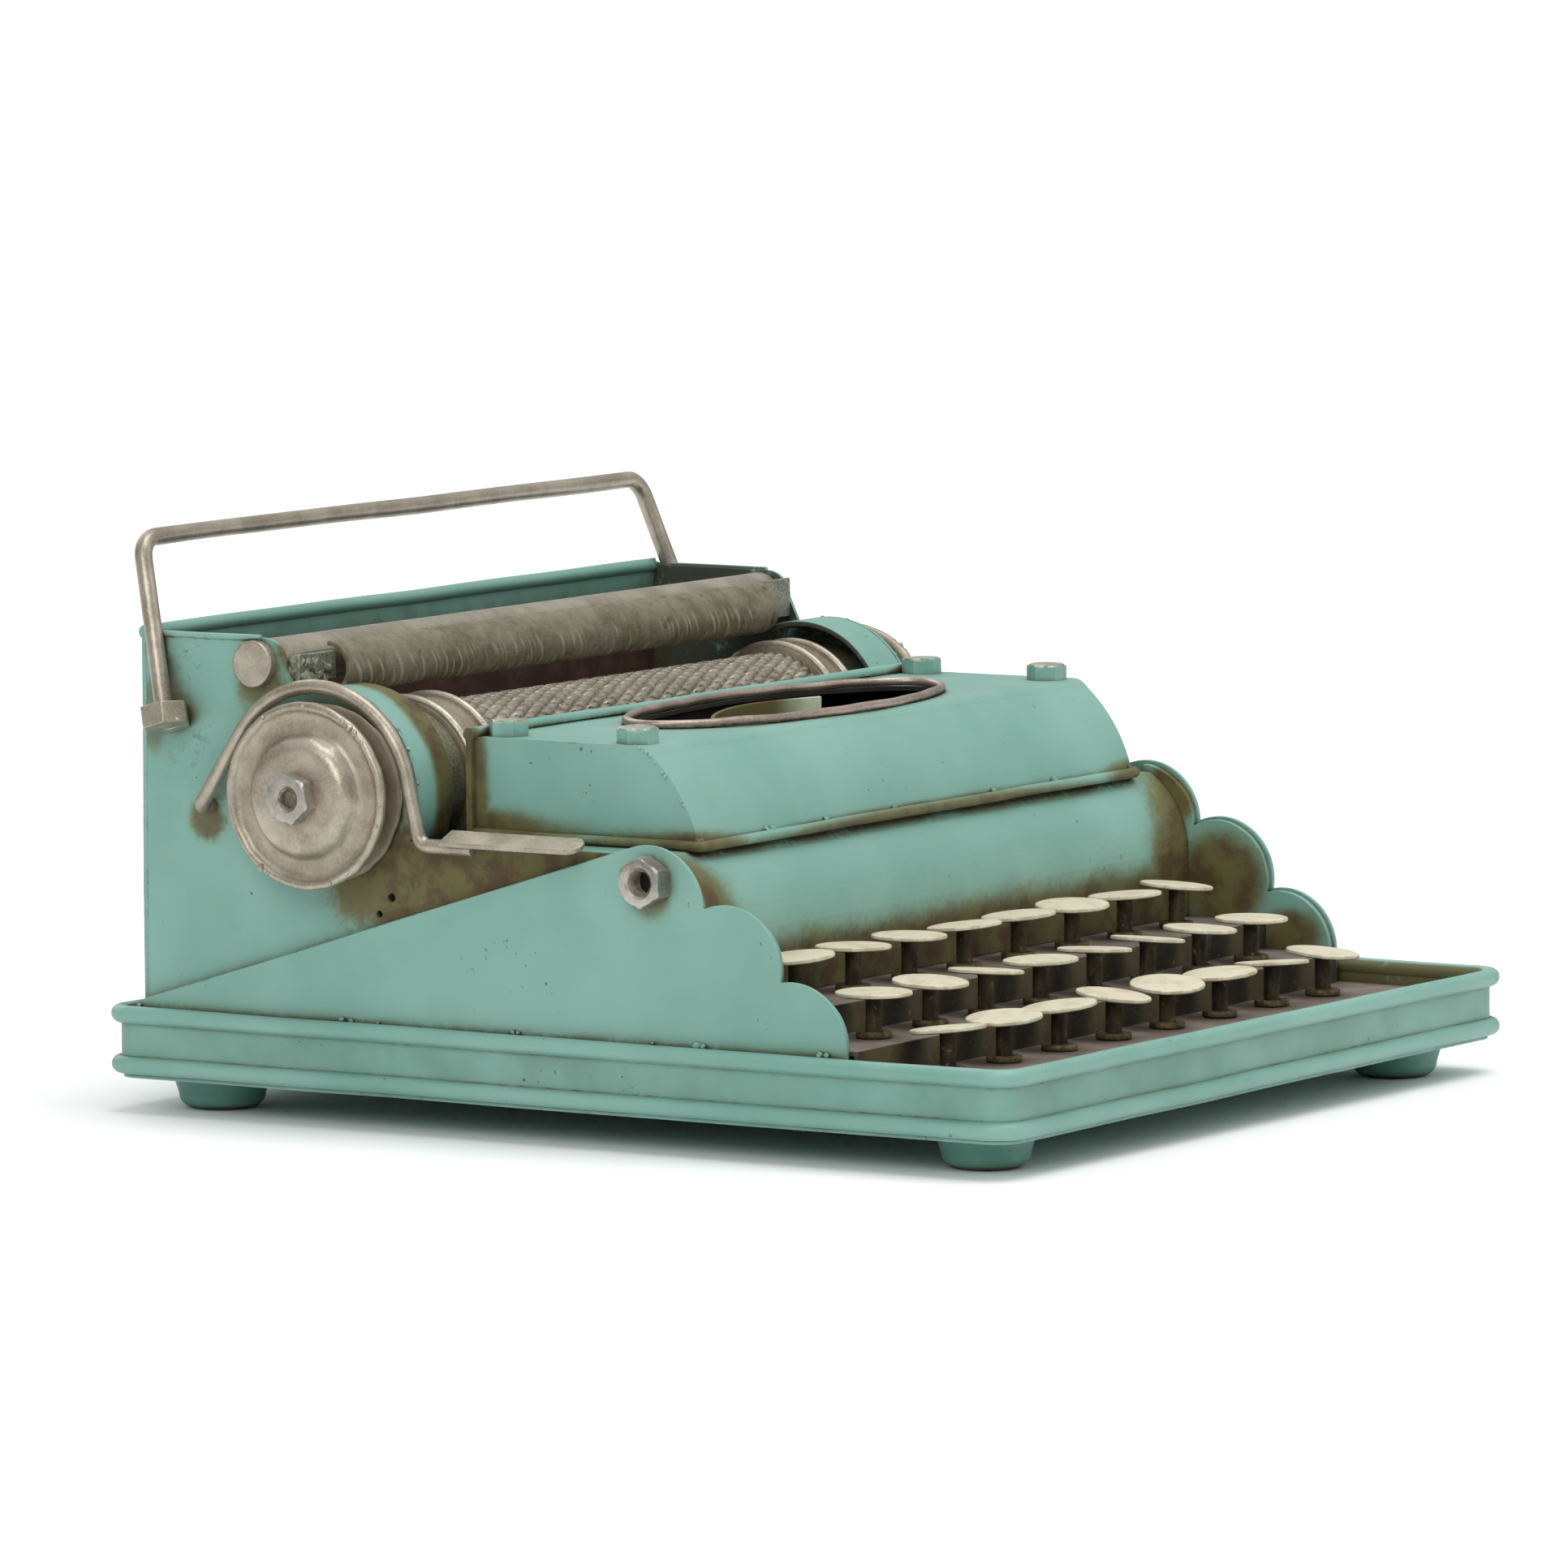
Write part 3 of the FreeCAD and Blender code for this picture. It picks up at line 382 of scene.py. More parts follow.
def rear_paint(name, lip_z):
    """Mint outside and on the rolled lip; dark red-brown rust on the inner face."""
    p = Paint(name)
    colour = p.mix(p.span(p.noise(60, 3), 0.3, 0.7), MINT_DEEP, MINT_LIGHT)
    colour = p.mix(p.times(p.span(p.noise(6, 4, 0.65, shift=3.0), 0.50, 0.78), 0.30), colour, MINT_GREY)
    broken = p.noise(11, 5, 0.65, shift=7.0)
    drips = p.times(p.span(p.noise(9, 4, 0.65, stretch=(1, 1, 0.25), shift=9.0), 0.50, 0.70),
                    p.span(p.axis(2), 0.035, 0.012))
    colour = p.mix(p.times(drips, 0.8), colour, OLIVE_WASH)
    specks = p.times(p.span(p.noise(1.6, 2, 0.6, shift=29.0), 0.70, 0.75), p.span(p.noise(19, 2, shift=31.0), 0.48, 0.6))
    colour = p.mix(p.times(specks, 0.85), colour, CHIP)
    near = p.times(p.span(p.corner(9), 0.16, 0.62), p.span(broken, 0.28, 0.58))
    colour = p.mix(p.times(near, 0.85), colour, OLIVE_WASH)
    rust = p.mix(p.span(p.noise(8, 4, 0.65, shift=3.0), 0.4, 0.66), RUST_PANEL, (0.085, 0.038, 0.024, 1))
    inward = p.span(p.facing(1), -0.4, -0.8)
    torn = p.math("ADD", p.axis(2), p.times(p.math("SUBTRACT", broken, 0.5), 9 * MM))
    shaded = p.times(inward, p.span(torn, lip_z - 2 * MM, lip_z - 9 * MM))
    colour = p.mix(p.times(shaded, 0.8), colour, (0.040, 0.075, 0.040, 1))
    inner = p.times(inward, p.span(torn, lip_z - 9 * MM, lip_z - 16 * MM))
    colour = p.mix(inner, colour, rust)
    rubbed = p.times(p.edge(0.7), p.span(p.noise(3.2, 4, 0.7, shift=17.0), 0.52, 0.62))
    colour = p.mix(p.times(rubbed, 0.8), colour, CHIP)
    normal = p.bump(p.noise(0.5, 2, 0.6), 0.035, p.bump(p.noise(17, 2), 0.45))
    return p.done(colour, p.mix(inner, (0.42, 0.42, 0.42, 1), (0.75, 0.75, 0.75, 1)), normal)


def pale_sheet(name):
    p = Paint(name)
    colour = p.mix(p.span(p.noise(9, 3, 0.6), 0.36, 0.64), (0.50, 0.58, 0.40, 1), (0.66, 0.72, 0.52, 1))
    edge_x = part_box("type_sheet")[1].x
    # painted shade: the sheet darkens towards its left, where it runs behind the opening's rim
    colour = p.mix(p.span(p.axis(0), edge_x - 2 * MM, edge_x - 16 * MM), colour, OLIVE_WASH)
    return p.done(colour, p.span(p.noise(3, 3), -0.6, 1.1), p.bump(p.noise(0.6, 3, 0.7), 0.04))


# ---- shapes ----

def hold(point):
    """Keep a point inside the CAD model's box."""
    low, high = CAD_BOX
    for i in range(3):
        point[i] = min(max(point[i], low[i] + PAD), high[i] - PAD)


def settle(bm, wave, wave_size):
    """Shift every point by one slow field, so that touching sheets stay in touch."""
    for vert in bm.verts:
        vert.co += noise.noise_vector(vert.co / (wave_size * MM)) * (wave * MM)
        hold(vert.co)


def refine(bm, longest):
    """Split every edge longer than a length, a few times over."""
    for _ in range(6):
        bmesh.ops.triangulate(bm, faces=bm.faces)
        long_edges = [e for e in bm.edges if e.calc_length() > longest * MM]
        if not long_edges:
            break
        bmesh.ops.subdivide_edges(bm, edges=long_edges, cuts=1)


def piece(bm, name, body, materials, slot, *replaced, sharp=42):
    """Turn a bmesh into a smooth-shaded piece that rides on a body."""
    mesh = bpy.data.meshes.new(name)
    bmesh.ops.recalc_face_normals(bm, faces=bm.faces)
    bm.to_mesh(mesh)
    bm.free()
    mesh.shade_smooth()
    mesh.set_sharp_from_angle(angle=math.radians(sharp))
    made = bpy.data.objects.new(name, mesh)
    bpy.context.scene.collection.objects.link(made)
    for material in materials:
        mesh.materials.append(material)
    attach(made, body)
    if replaced:
        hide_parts(*replaced)
    return made


def body_of(node):
    return NODES[node]["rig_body"]


def from_node(node):
    bm = bmesh.new()
    bm.from_mesh(NODES[node].data)
    bmesh.ops.remove_doubles(bm, verts=bm.verts, dist=0.004 * MM)
    bmesh.ops.dissolve_limit(bm, angle_limit=math.radians(0.8), verts=bm.verts, edges=bm.edges)
    return bm


def worked(node, material, slot, bevel=0.25, grid=6.0, wave=0.22, wave_size=40.0, segments=2):
    """A node remade as worked metal: rounded edges, and faces that aren't quite flat."""
    bm = from_node(node)
    edges = [e for e in bm.edges if e.is_manifold and e.calc_face_angle(0) > math.radians(32)]
    if bevel:
        bmesh.ops.bevel(
            bm, geom=edges, offset=bevel * MM, segments=segments, profile=0.5,
            affect="EDGES", clamp_overlap=True,
        )
    refine(bm, grid)
    settle(bm, wave, wave_size)
    made = piece(bm, node + "_worked", body_of(node), [material], slot, node)
    made.modifiers.new("even", "WEIGHTED_NORMAL").keep_sharp = True
    NODES_MADE[node] = made
    return made


# ---- camera, light and floor ----

def set_camera():
    azimuth, elevation, roll = (math.radians(v) for v in (-57.935, 5.781, -0.227))
    distance = 2.5573
    target = Vector((-0.012189, 0.0, 0.070736))
    back = Vector((
        math.sin(azimuth) * math.cos(elevation),
        -math.cos(azimuth) * math.cos(elevation),
        math.sin(elevation),
    ))
    right = Vector((0, 0, 1)).cross(back).normalized()
    up = back.cross(right)
    rolled_right = right * math.cos(roll) + up * math.sin(roll)
    rolled_up = up * math.cos(roll) - right * math.sin(roll)
    data = bpy.data.cameras.new("camera")
    data.lens = 260.87
    data.sensor_width = 36
    data.clip_end = 50
    camera = bpy.data.objects.new("camera", data)
    bpy.context.scene.collection.objects.link(camera)
    turn = Matrix((rolled_right, rolled_up, back)).transposed().to_4x4()
    camera.matrix_world = Matrix.Translation(target + back * distance) @ turn
    bpy.context.scene.camera = camera


def soft_sun(name, place, power, spread):
    """Broad, even light from the side of a place."""
    data = bpy.data.lights.new(name, "SUN")
    data.angle = math.radians(spread)
    data.energy = power
    lamp = bpy.data.objects.new(name, data)
    bpy.context.scene.collection.objects.link(lamp)
    lamp.rotation_euler = Vector(place).to_track_quat("Z", "Y").to_euler()


def set_studio():
    world = bpy.data.worlds.new("studio")
    bpy.context.scene.world = world
    world.use_nodes = True
    nodes = world.node_tree.nodes
    links = world.node_tree.links
    height = nodes.new("ShaderNodeSeparateXYZ")
    links.new(nodes.new("ShaderNodeTexCoord").outputs["Generated"], height.inputs[0])
    rising = nodes.new("ShaderNodeMapRange")
    links.new(height.outputs[2], rising.inputs[0])
    rising.inputs[3].default_value = 0.28
    rising.inputs[4].default_value = 0.80
    links.new(rising.outputs[0], nodes["Background"].inputs["Strength"])
    nodes["Background"].inputs["Color"].default_value = (1.0, 1.0, 1.0, 1)
    soft_sun("overhead", (0.1, -0.2, 1.0), 1.35, 40)
    soft_sun("left", (-1.0, -0.3, 0.6), 0.85, 30)
    soft_sun("front", (0.5, -1.0, 0.6), 0.25, 40)
    soft_sun("rear", (0.6, 1.0, 0.7), 0.55, 40)
    bpy.context.scene.view_settings.view_transform = "Standard"
    bm = bmesh.new()
    bmesh.ops.create_grid(bm, x_segments=24, y_segments=24, size=9.0)
    for vert in bm.verts:
        vert.co.z = -0.0002
    mesh = bpy.data.meshes.new("floor")
    bm.to_mesh(mesh)
    bm.free()
    floor = bpy.data.objects.new("floor", mesh)
    bpy.context.scene.collection.objects.link(floor)
    p = Paint("floor_white")
    shade = p.mix(p.noise(400, 2), (0.93, 0.93, 0.93, 1), (0.95, 0.95, 0.95, 1))
    floor.data.materials.append(p.done(shade, 0.9, p.bump(p.noise(3, 2), 0.02)))


# ---- pieces ----

def lathe(outline, centre, segments, ripple=0.0, ripple_size=3.0):
    """Turn (x, radius) points round an axis along x; radii and x in mm, centre in metres."""
    bm = bmesh.new()
    rings = []
    for x, radius in outline:
        ring = []
        for step in range(segments):
            angle = 2 * math.pi * step / segments
            at = Vector((x * MM, radius * math.cos(angle) * MM, radius * math.sin(angle) * MM))
            outward = Vector((0, math.cos(angle), math.sin(angle)))
            shift = noise.noise(at / (ripple_size * MM)) * ripple * MM
            ring.append(bm.verts.new(at + outward * shift + centre))
        rings.append(ring)
    for first, second in zip(rings, rings[1:]):
        for step in range(segments):
            after = (step + 1) % segments
            bm.faces.new((first[step], first[after], second[after], second[step]))
    return bm


def knurled_roller(material):
    """Roller with raised slanting diamonds."""
    low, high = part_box("platen_roller")
    centre = (low + high) / 2
    radius = (high.z - low.z) / 2 / MM
    length = (high.x - low.x) / MM
    across = 260
    along = 300
    bm = bmesh.new()
    rings = []
    for i in range(along + 1):
        x = -length / 2 + length * i / along
        ring = []
        for j in range(across):
            angle = 2 * math.pi * j / across
            turn = angle / (2 * math.pi) * 40
            one = abs((x / 6.4 + turn) % 1 - 0.5) * 2
            two = abs((-x / 9.0 + turn) % 1 - 0.5) * 2
            height = math.sin(min(1.0, 1.5 * min(one, two)) * math.pi / 2)
            r = radius - 0.8 + 0.8 * height
            at = Vector((x * MM, r * math.cos(angle) * MM, r * math.sin(angle) * MM))
            ring.append(bm.verts.new(at + centre))
        rings.append(ring)
    for first, second in zip(rings, rings[1:]):
        for j in range(across):
            after = (j + 1) % across
            bm.faces.new((first[j], first[after], second[after], second[j]))
    return piece(bm, "knurled_roller", "platen", [material], "silver_bronze", "platen_roller")


def key_piece(node, enamel, metal, seed):
    """Thin disc, a little tilted, on a pin with a stop clip."""
    low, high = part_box(node)
    centre = (low + high) / 2
    radius = (high.x - low.x) / 2 / MM
    top = high.z
    tilt_x = noise.noise(Vector((seed * 1.37, 0.5, 0.1))) * 0.18
    tilt_y = noise.noise(Vector((0.3, seed * 1.91, 0.7))) * 0.18
    bm = bmesh.new()
    outline = [
        (0.0, 0.02), (0.0, 4.0), (0.0, 7.0), (-0.04, radius - 0.5), (-0.16, radius - 0.12),
        (-0.45, radius), (-0.8, radius - 0.06), (-1.0, radius - 0.4), (-1.05, 4.0), (-1.05, 1.7),
    ]
    turn = Matrix.Rotation(tilt_x, 4, "X") @ Matrix.Rotation(tilt_y, 4, "Y")
    pivot = Vector((centre.x, centre.y, top - 0.6 * MM))
    segments = 48
    rings = []
    for drop, r in outline:
        ring = []
        for step in range(segments):
            angle = 2 * math.pi * step / segments
            wobble = 1 + 0.012 * noise.noise(Vector((math.cos(angle), math.sin(angle), seed * 2.3)))
            at = Vector((r * wobble * math.cos(angle), r * wobble * math.sin(angle), drop + 0.6)) * MM
            at = turn @ at + pivot
            ring.append(bm.verts.new(at))
        rings.append(ring)
    bm.faces.new(rings[0])
    for first, second in zip(rings, rings[1:]):
        for step in range(segments):
            after = (step + 1) % segments
            bm.faces.new((first[step], second[step], second[after], first[after]))
    disc_faces = len(bm.faces)
    foot = (low.z - top) / MM
    clip_low = foot + 3.2
    pin = [(-1.0, 2.3), (-1.5, 1.9), (-2.2, 1.8), (-9.4, 1.8), (clip_low + 0.8, 1.8), (clip_low + 0.8, 2.7),
           (clip_low, 2.7), (clip_low, 1.8), (foot + 0.3, 1.8), (foot, 1.5), (foot, 0.02)]
    rings = []
    for drop, r in pin:
        ring = []
        for step in range(24):
            angle = 2 * math.pi * step / 24
            at = Vector((r * math.cos(angle), r * math.sin(angle), drop)) * MM
            ring.append(bm.verts.new(at + Vector((centre.x, centre.y, top))))
        rings.append(ring)
    for first, second in zip(rings, rings[1:]):
        for step in range(24):
            after = (step + 1) % 24
            bm.faces.new((first[step], second[step], second[after], first[after]))
    bm.faces.ensure_lookup_table()
    for face in bm.faces[disc_faces:]:
        face.material_index = 1
    return piece(bm, node + "_cap_and_pin", body_of(node), [enamel, metal], "cream_enamel", node)


def knob(node, side, material):
    """Spool knob: rolled rim, sunk ring, raised dome, rusty core and a second disc."""
    low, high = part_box(node)
    centre = Vector((0, (low.y + high.y) / 2, (low.z + high.z) / 2))
    face = (-low.x if side < 0 else high.x) / MM
    radius = (high.z - low.z) / 2 / MM
    outline = [
        (0.0, 2.6), (0.0, 9.8), (0.08, 10.8), (0.4, 11.8), (1.1, 12.7), (2.1, 13.3), (3.2, 13.8),
        (3.75, 14.4), (4.0, 15.3), (4.05, 17.2), (3.95, 18.3), (3.5, 18.85), (2.95, 19.25),
        (2.8, 19.8), (2.95, radius - 0.45), (3.45, radius - 0.08), (4.1, radius),
        (4.7, radius - 0.2), (5.1, radius - 0.7), (5.2, radius - 1.4), (5.25, 15.0), (5.3, 13.7),
        (5.8, 13.4), (10.9, 13.4), (11.3, 13.8), (11.35, 15.0), (11.35, radius - 1.9),
        (11.7, radius - 1.3), (12.1, radius - 1.1), (12.5, radius - 1.35), (12.75, radius - 2.0),
        (12.75, 2.6),
    ]
    points = [(side * (face - x), r) for x, r in outline]
    bm = lathe(points, centre, 160, ripple=0.30, ripple_size=4.0)
    return piece(bm, node + "_turned", "platen", [material], "silver_bronze", node, sharp=60)


def hexagon(bm, place, axis, across, height, bore, turn, depth):
    """Chamfered hexagon on a place; a bore gets a countersink and thread ridges."""
    frame_turn = axis.to_track_quat("Z", "Y").to_matrix().to_4x4()
    whole = Matrix.Translation(place) @ frame_turn @ Matrix.Rotation(turn, 4, "Z")
    segments = 96
    flat = across / 2
    profile = [(0.0, 9.0), (height - 0.9, 9.0), (height - 0.45, flat + 0.62), (height - 0.12, flat + 0.02), (height, flat - 0.35)]
    if bore:
        profile += [(height, bore + 0.6), (height - 0.6, bore + 0.05)]
        level = height - 0.9
        while level > height - depth:
            profile += [(level, bore - 0.32), (level - 0.35, bore)]
            level -= 0.7
        profile.append((height - depth, 0.02))
    else:
        profile.append((height + 0.12, 0.02))
    rings = []
    for level, radius in profile:
        ring = []
        for step in range(segments):
            angle = 2 * math.pi * step / segments
            to_flat = (angle + math.pi / 6) % (math.pi / 3) - math.pi / 6
            r = min(radius, flat / math.cos(to_flat) if radius > flat - 0.4 else radius)
            ring.append(bm.verts.new(whole @ (Vector((r * math.cos(angle), r * math.sin(angle), level)) * MM)))
        rings.append(ring)
    for level, (first, second) in enumerate(zip(rings, rings[1:])):
        for step in range(segments):
            after = (step + 1) % segments
            face = bm.faces.new((first[step], first[after], second[after], second[step]))
            face.material_index = 1 if bore and level > 5 else 0
    caps = bmesh.ops.holes_fill(bm, edges=[e for e in bm.edges if e.is_boundary], sides=0)["faces"]
    for face in caps:
        face.material_index = 2 if bore else 0


def side_nuts(node, body, materials, height, bore, depth, turn):
    """The two outward nuts of a node, one on each side."""
    low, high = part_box(node)
    y, z = (low.y + high.y) / 2, (low.z + high.z) / 2
    bm = bmesh.new()
    for sign in (-1, 1):
        place = Vector((sign * (high.x - height * MM), y, z))
        hexagon(bm, place, Vector((sign, 0, 0)), 10.0, height, bore, turn, depth)
    return piece(bm, node + "_threaded", body, materials, "silver_bronze", node, sharp=35)


def bolt_heads(material):
    low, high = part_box("cover_bolts")
    cover_top = high.z / MM - 4.0
    corner = 4.62 * MM
    bm = bmesh.new()
    for x in (low.x + corner, high.x - corner):
        for y in (low.y + 4 * MM, high.y - 4 * MM):
            lean = Vector((noise.noise(Vector((x * 90, y * 70, 1))) * 0.08, noise.noise(Vector((y * 80, x * 60, 2))) * 0.08, 1))
            hexagon(bm, Vector((x, y, cover_top * MM - 0.15 * MM)), lean, 8.0, 3.9, 0, 0.0, 0)
    return piece(bm, "cover_bolt_heads", "frame", [material], "mint_paint", "cover_bolts", sharp=35)


def painted_shade_inside(name):
    """Near-black painted shade for the hollow inside of the cover and the bottoms of bores."""
    p = Paint(name)
    colour = p.mix(p.span(p.noise(12, 3), 0.36, 0.64), (0.006, 0.005, 0.004, 1), (0.018, 0.015, 0.011, 1))
    return p.done(colour, p.span(p.noise(4, 3), -1.2, 1.0), p.bump(p.noise(2, 3), 0.1))


def paint_inside(made, material, low, high):
    """Give a second material to the faces in a box that look into it, but not to cut edges near its top."""
    made.data.materials.append(material)
    middle = (low + high) / 2
    for face in made.data.polygons:
        place = face.center
        inward = face.normal.dot(middle - place) > 0 and (face.normal.z < -0.5 or place.z < high.z - 1.5 * MM)
        rim = abs(face.normal.z) < 0.4 and place.z > high.z - 2 * MM and abs(place.x) < high.x - 20 * MM
        if (inward or rim) and all(low[i] < place[i] < high[i] + rim * MM for i in range(3)):
            face.material_index = 1


def lumps(name, spots, material, slot, body="frame"):
    """Small beads of weld and paint: (place in metres, size in mm, seed)."""
    bm = bmesh.new()
    for place, size, seed in spots:
        made = bmesh.ops.create_icosphere(bm, subdivisions=3, radius=size * MM)
        for vert in made["verts"]:
            swell = 1 + 0.35 * noise.noise(vert.co / (0.7 * size * MM) + Vector((seed, 0, 0)))
            vert.co = Vector(vert.co) * swell + Vector(place)
            hold(vert.co)
    return piece(bm, name, body, [material], slot)


def welds(mint_plain, mint_cover, silver, bracket):
    """Beads of weld and thick paint along the seams."""
    cheek_low, cheek_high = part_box("left_cheek")
    rim_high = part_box("base_rim")[1]
    spots = []
    for index, (share, size) in enumerate((
        (0.02, 0.6), (0.31, 0.8), (0.322, 0.55), (0.36, 0.4), (0.548, 0.7), (0.555, 0.5), (0.74, 0.4),
        (0.80, 1.0), (0.809, 0.7), (0.966, 0.9), (0.975, 0.7),
    )):
        y = cheek_high.y + (cheek_low.y - cheek_high.y) * share
        for sign in (-1, 1):
            spots.append(((sign * (-cheek_low.x + 0.0004), y, rim_high.z + 0.0001), size, index + sign))
    lumps("cheek_welds", spots, mint_plain, "mint_paint")
    cover_low, cover_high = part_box("ribbon_cover")
    front = cover_low.y
    spots = []
    for index, x in enumerate((-0.094, -0.0925, -0.066, -0.0635, -0.041, -0.012, 0.031, 0.058, 0.0925)):
        spots.append(((x, front - 0.0004, cover_low.z + 0.0022), 0.7 + 0.05 * (index % 4), index + 40))
    for index, (y, z) in enumerate((
        (-13.6, 86.4), (-15.4, 85.6), (-16.4, 84.9), (-17.6, 83.4), (-19.5, 81.3), (-20.3, 80.4),
        (-24.4, 75.2), (-25.0, 74.3), (-28.3, 66.9),
    )):
        for sign in (-1, 1):
            size = 0.45 + 0.3 * abs(noise.noise(Vector((index * 3.1, 0.4, sign))))
            spots.append(((sign * 0.0932, y * MM, z * MM), size, index + 60 + sign))
    lumps("cover_welds", spots, mint_cover, "mint_paint")
    hood_low, hood_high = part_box("left_end_hood")
    spots = []
    centre_y = (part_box("platen_shaft")[0].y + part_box("platen_shaft")[1].y) / 2
    centre_z = (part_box("platen_shaft")[0].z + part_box("platen_shaft")[1].z) / 2
    reach = hood_high.z - centre_z
    for index, degrees in enumerate((84, 101, 118, 139, 152, 171)):
        angle = math.radians(degrees)
        at_y, at_z = centre_y + reach * math.cos(angle), centre_z + reach * math.sin(angle)
        for sign in (-1, 1):
            spots.append(((sign * (-hood_low.x + 0.0006), at_y, at_z - 0.0003), 0.6, index + 80 + sign))
    lumps("hood_welds", spots, mint_plain, "mint_paint")
    knob_low, knob_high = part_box("right_knob")
    rim = (knob_high.z - knob_low.z) / 2
    spots = []
    for sign in (-1, 1):
        for index, (degrees, size) in enumerate((
            (128, 0.9), (133, 0.75), (122, 0.6), (141, 0.5), (305, 0.85), (299, 0.5), (183, 0.5),
            (196, 0.45), (250, 0.5), (236, 0.4), (58, 0.5), (20, 0.45), (338, 0.4), (90, 0.4),
        )):
            angle = math.radians(degrees)
            spots.append((
                (sign * (knob_high.x - 2.9 * MM), centre_y + (rim - 0.0009) * math.cos(angle),
                 centre_z + (rim - 0.0009) * math.sin(angle)),
                size, index + 100 + sign,
            ))
    lumps("knob_beads", spots, silver, "silver_bronze", "platen")
    low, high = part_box("scale_brackets")
    spots = []
    for index, (x, y, z, size) in enumerate((
        (1.5, 1.2, 0.55, 1.9), (3.6, 0.9, 0.50, 1.8), (5.6, 0.6, 0.42, 1.6), (2.2, 0.7, 0.2, 1.7),
        (4.4, 0.5, 0.15, 1.6), (7.4, 0.6, 0.5, 1.4), (0.8, 1.5, 0.3, 1.6), (9.5, 0.8, 0.4, 1.5),
        (8.6, 0.5, 0.1, 1.3), (11.5, 0.9, 0.35, 1.5), (6.4, 0.3, 0.25, 1.2),
    )):
        spots.append(((low.x + x * MM, low.y + 2.6 * MM * y, low.z + (high.z - low.z) * z), size, index + 130))
    lumps("bracket_solder", spots, bracket, "silver_bronze")


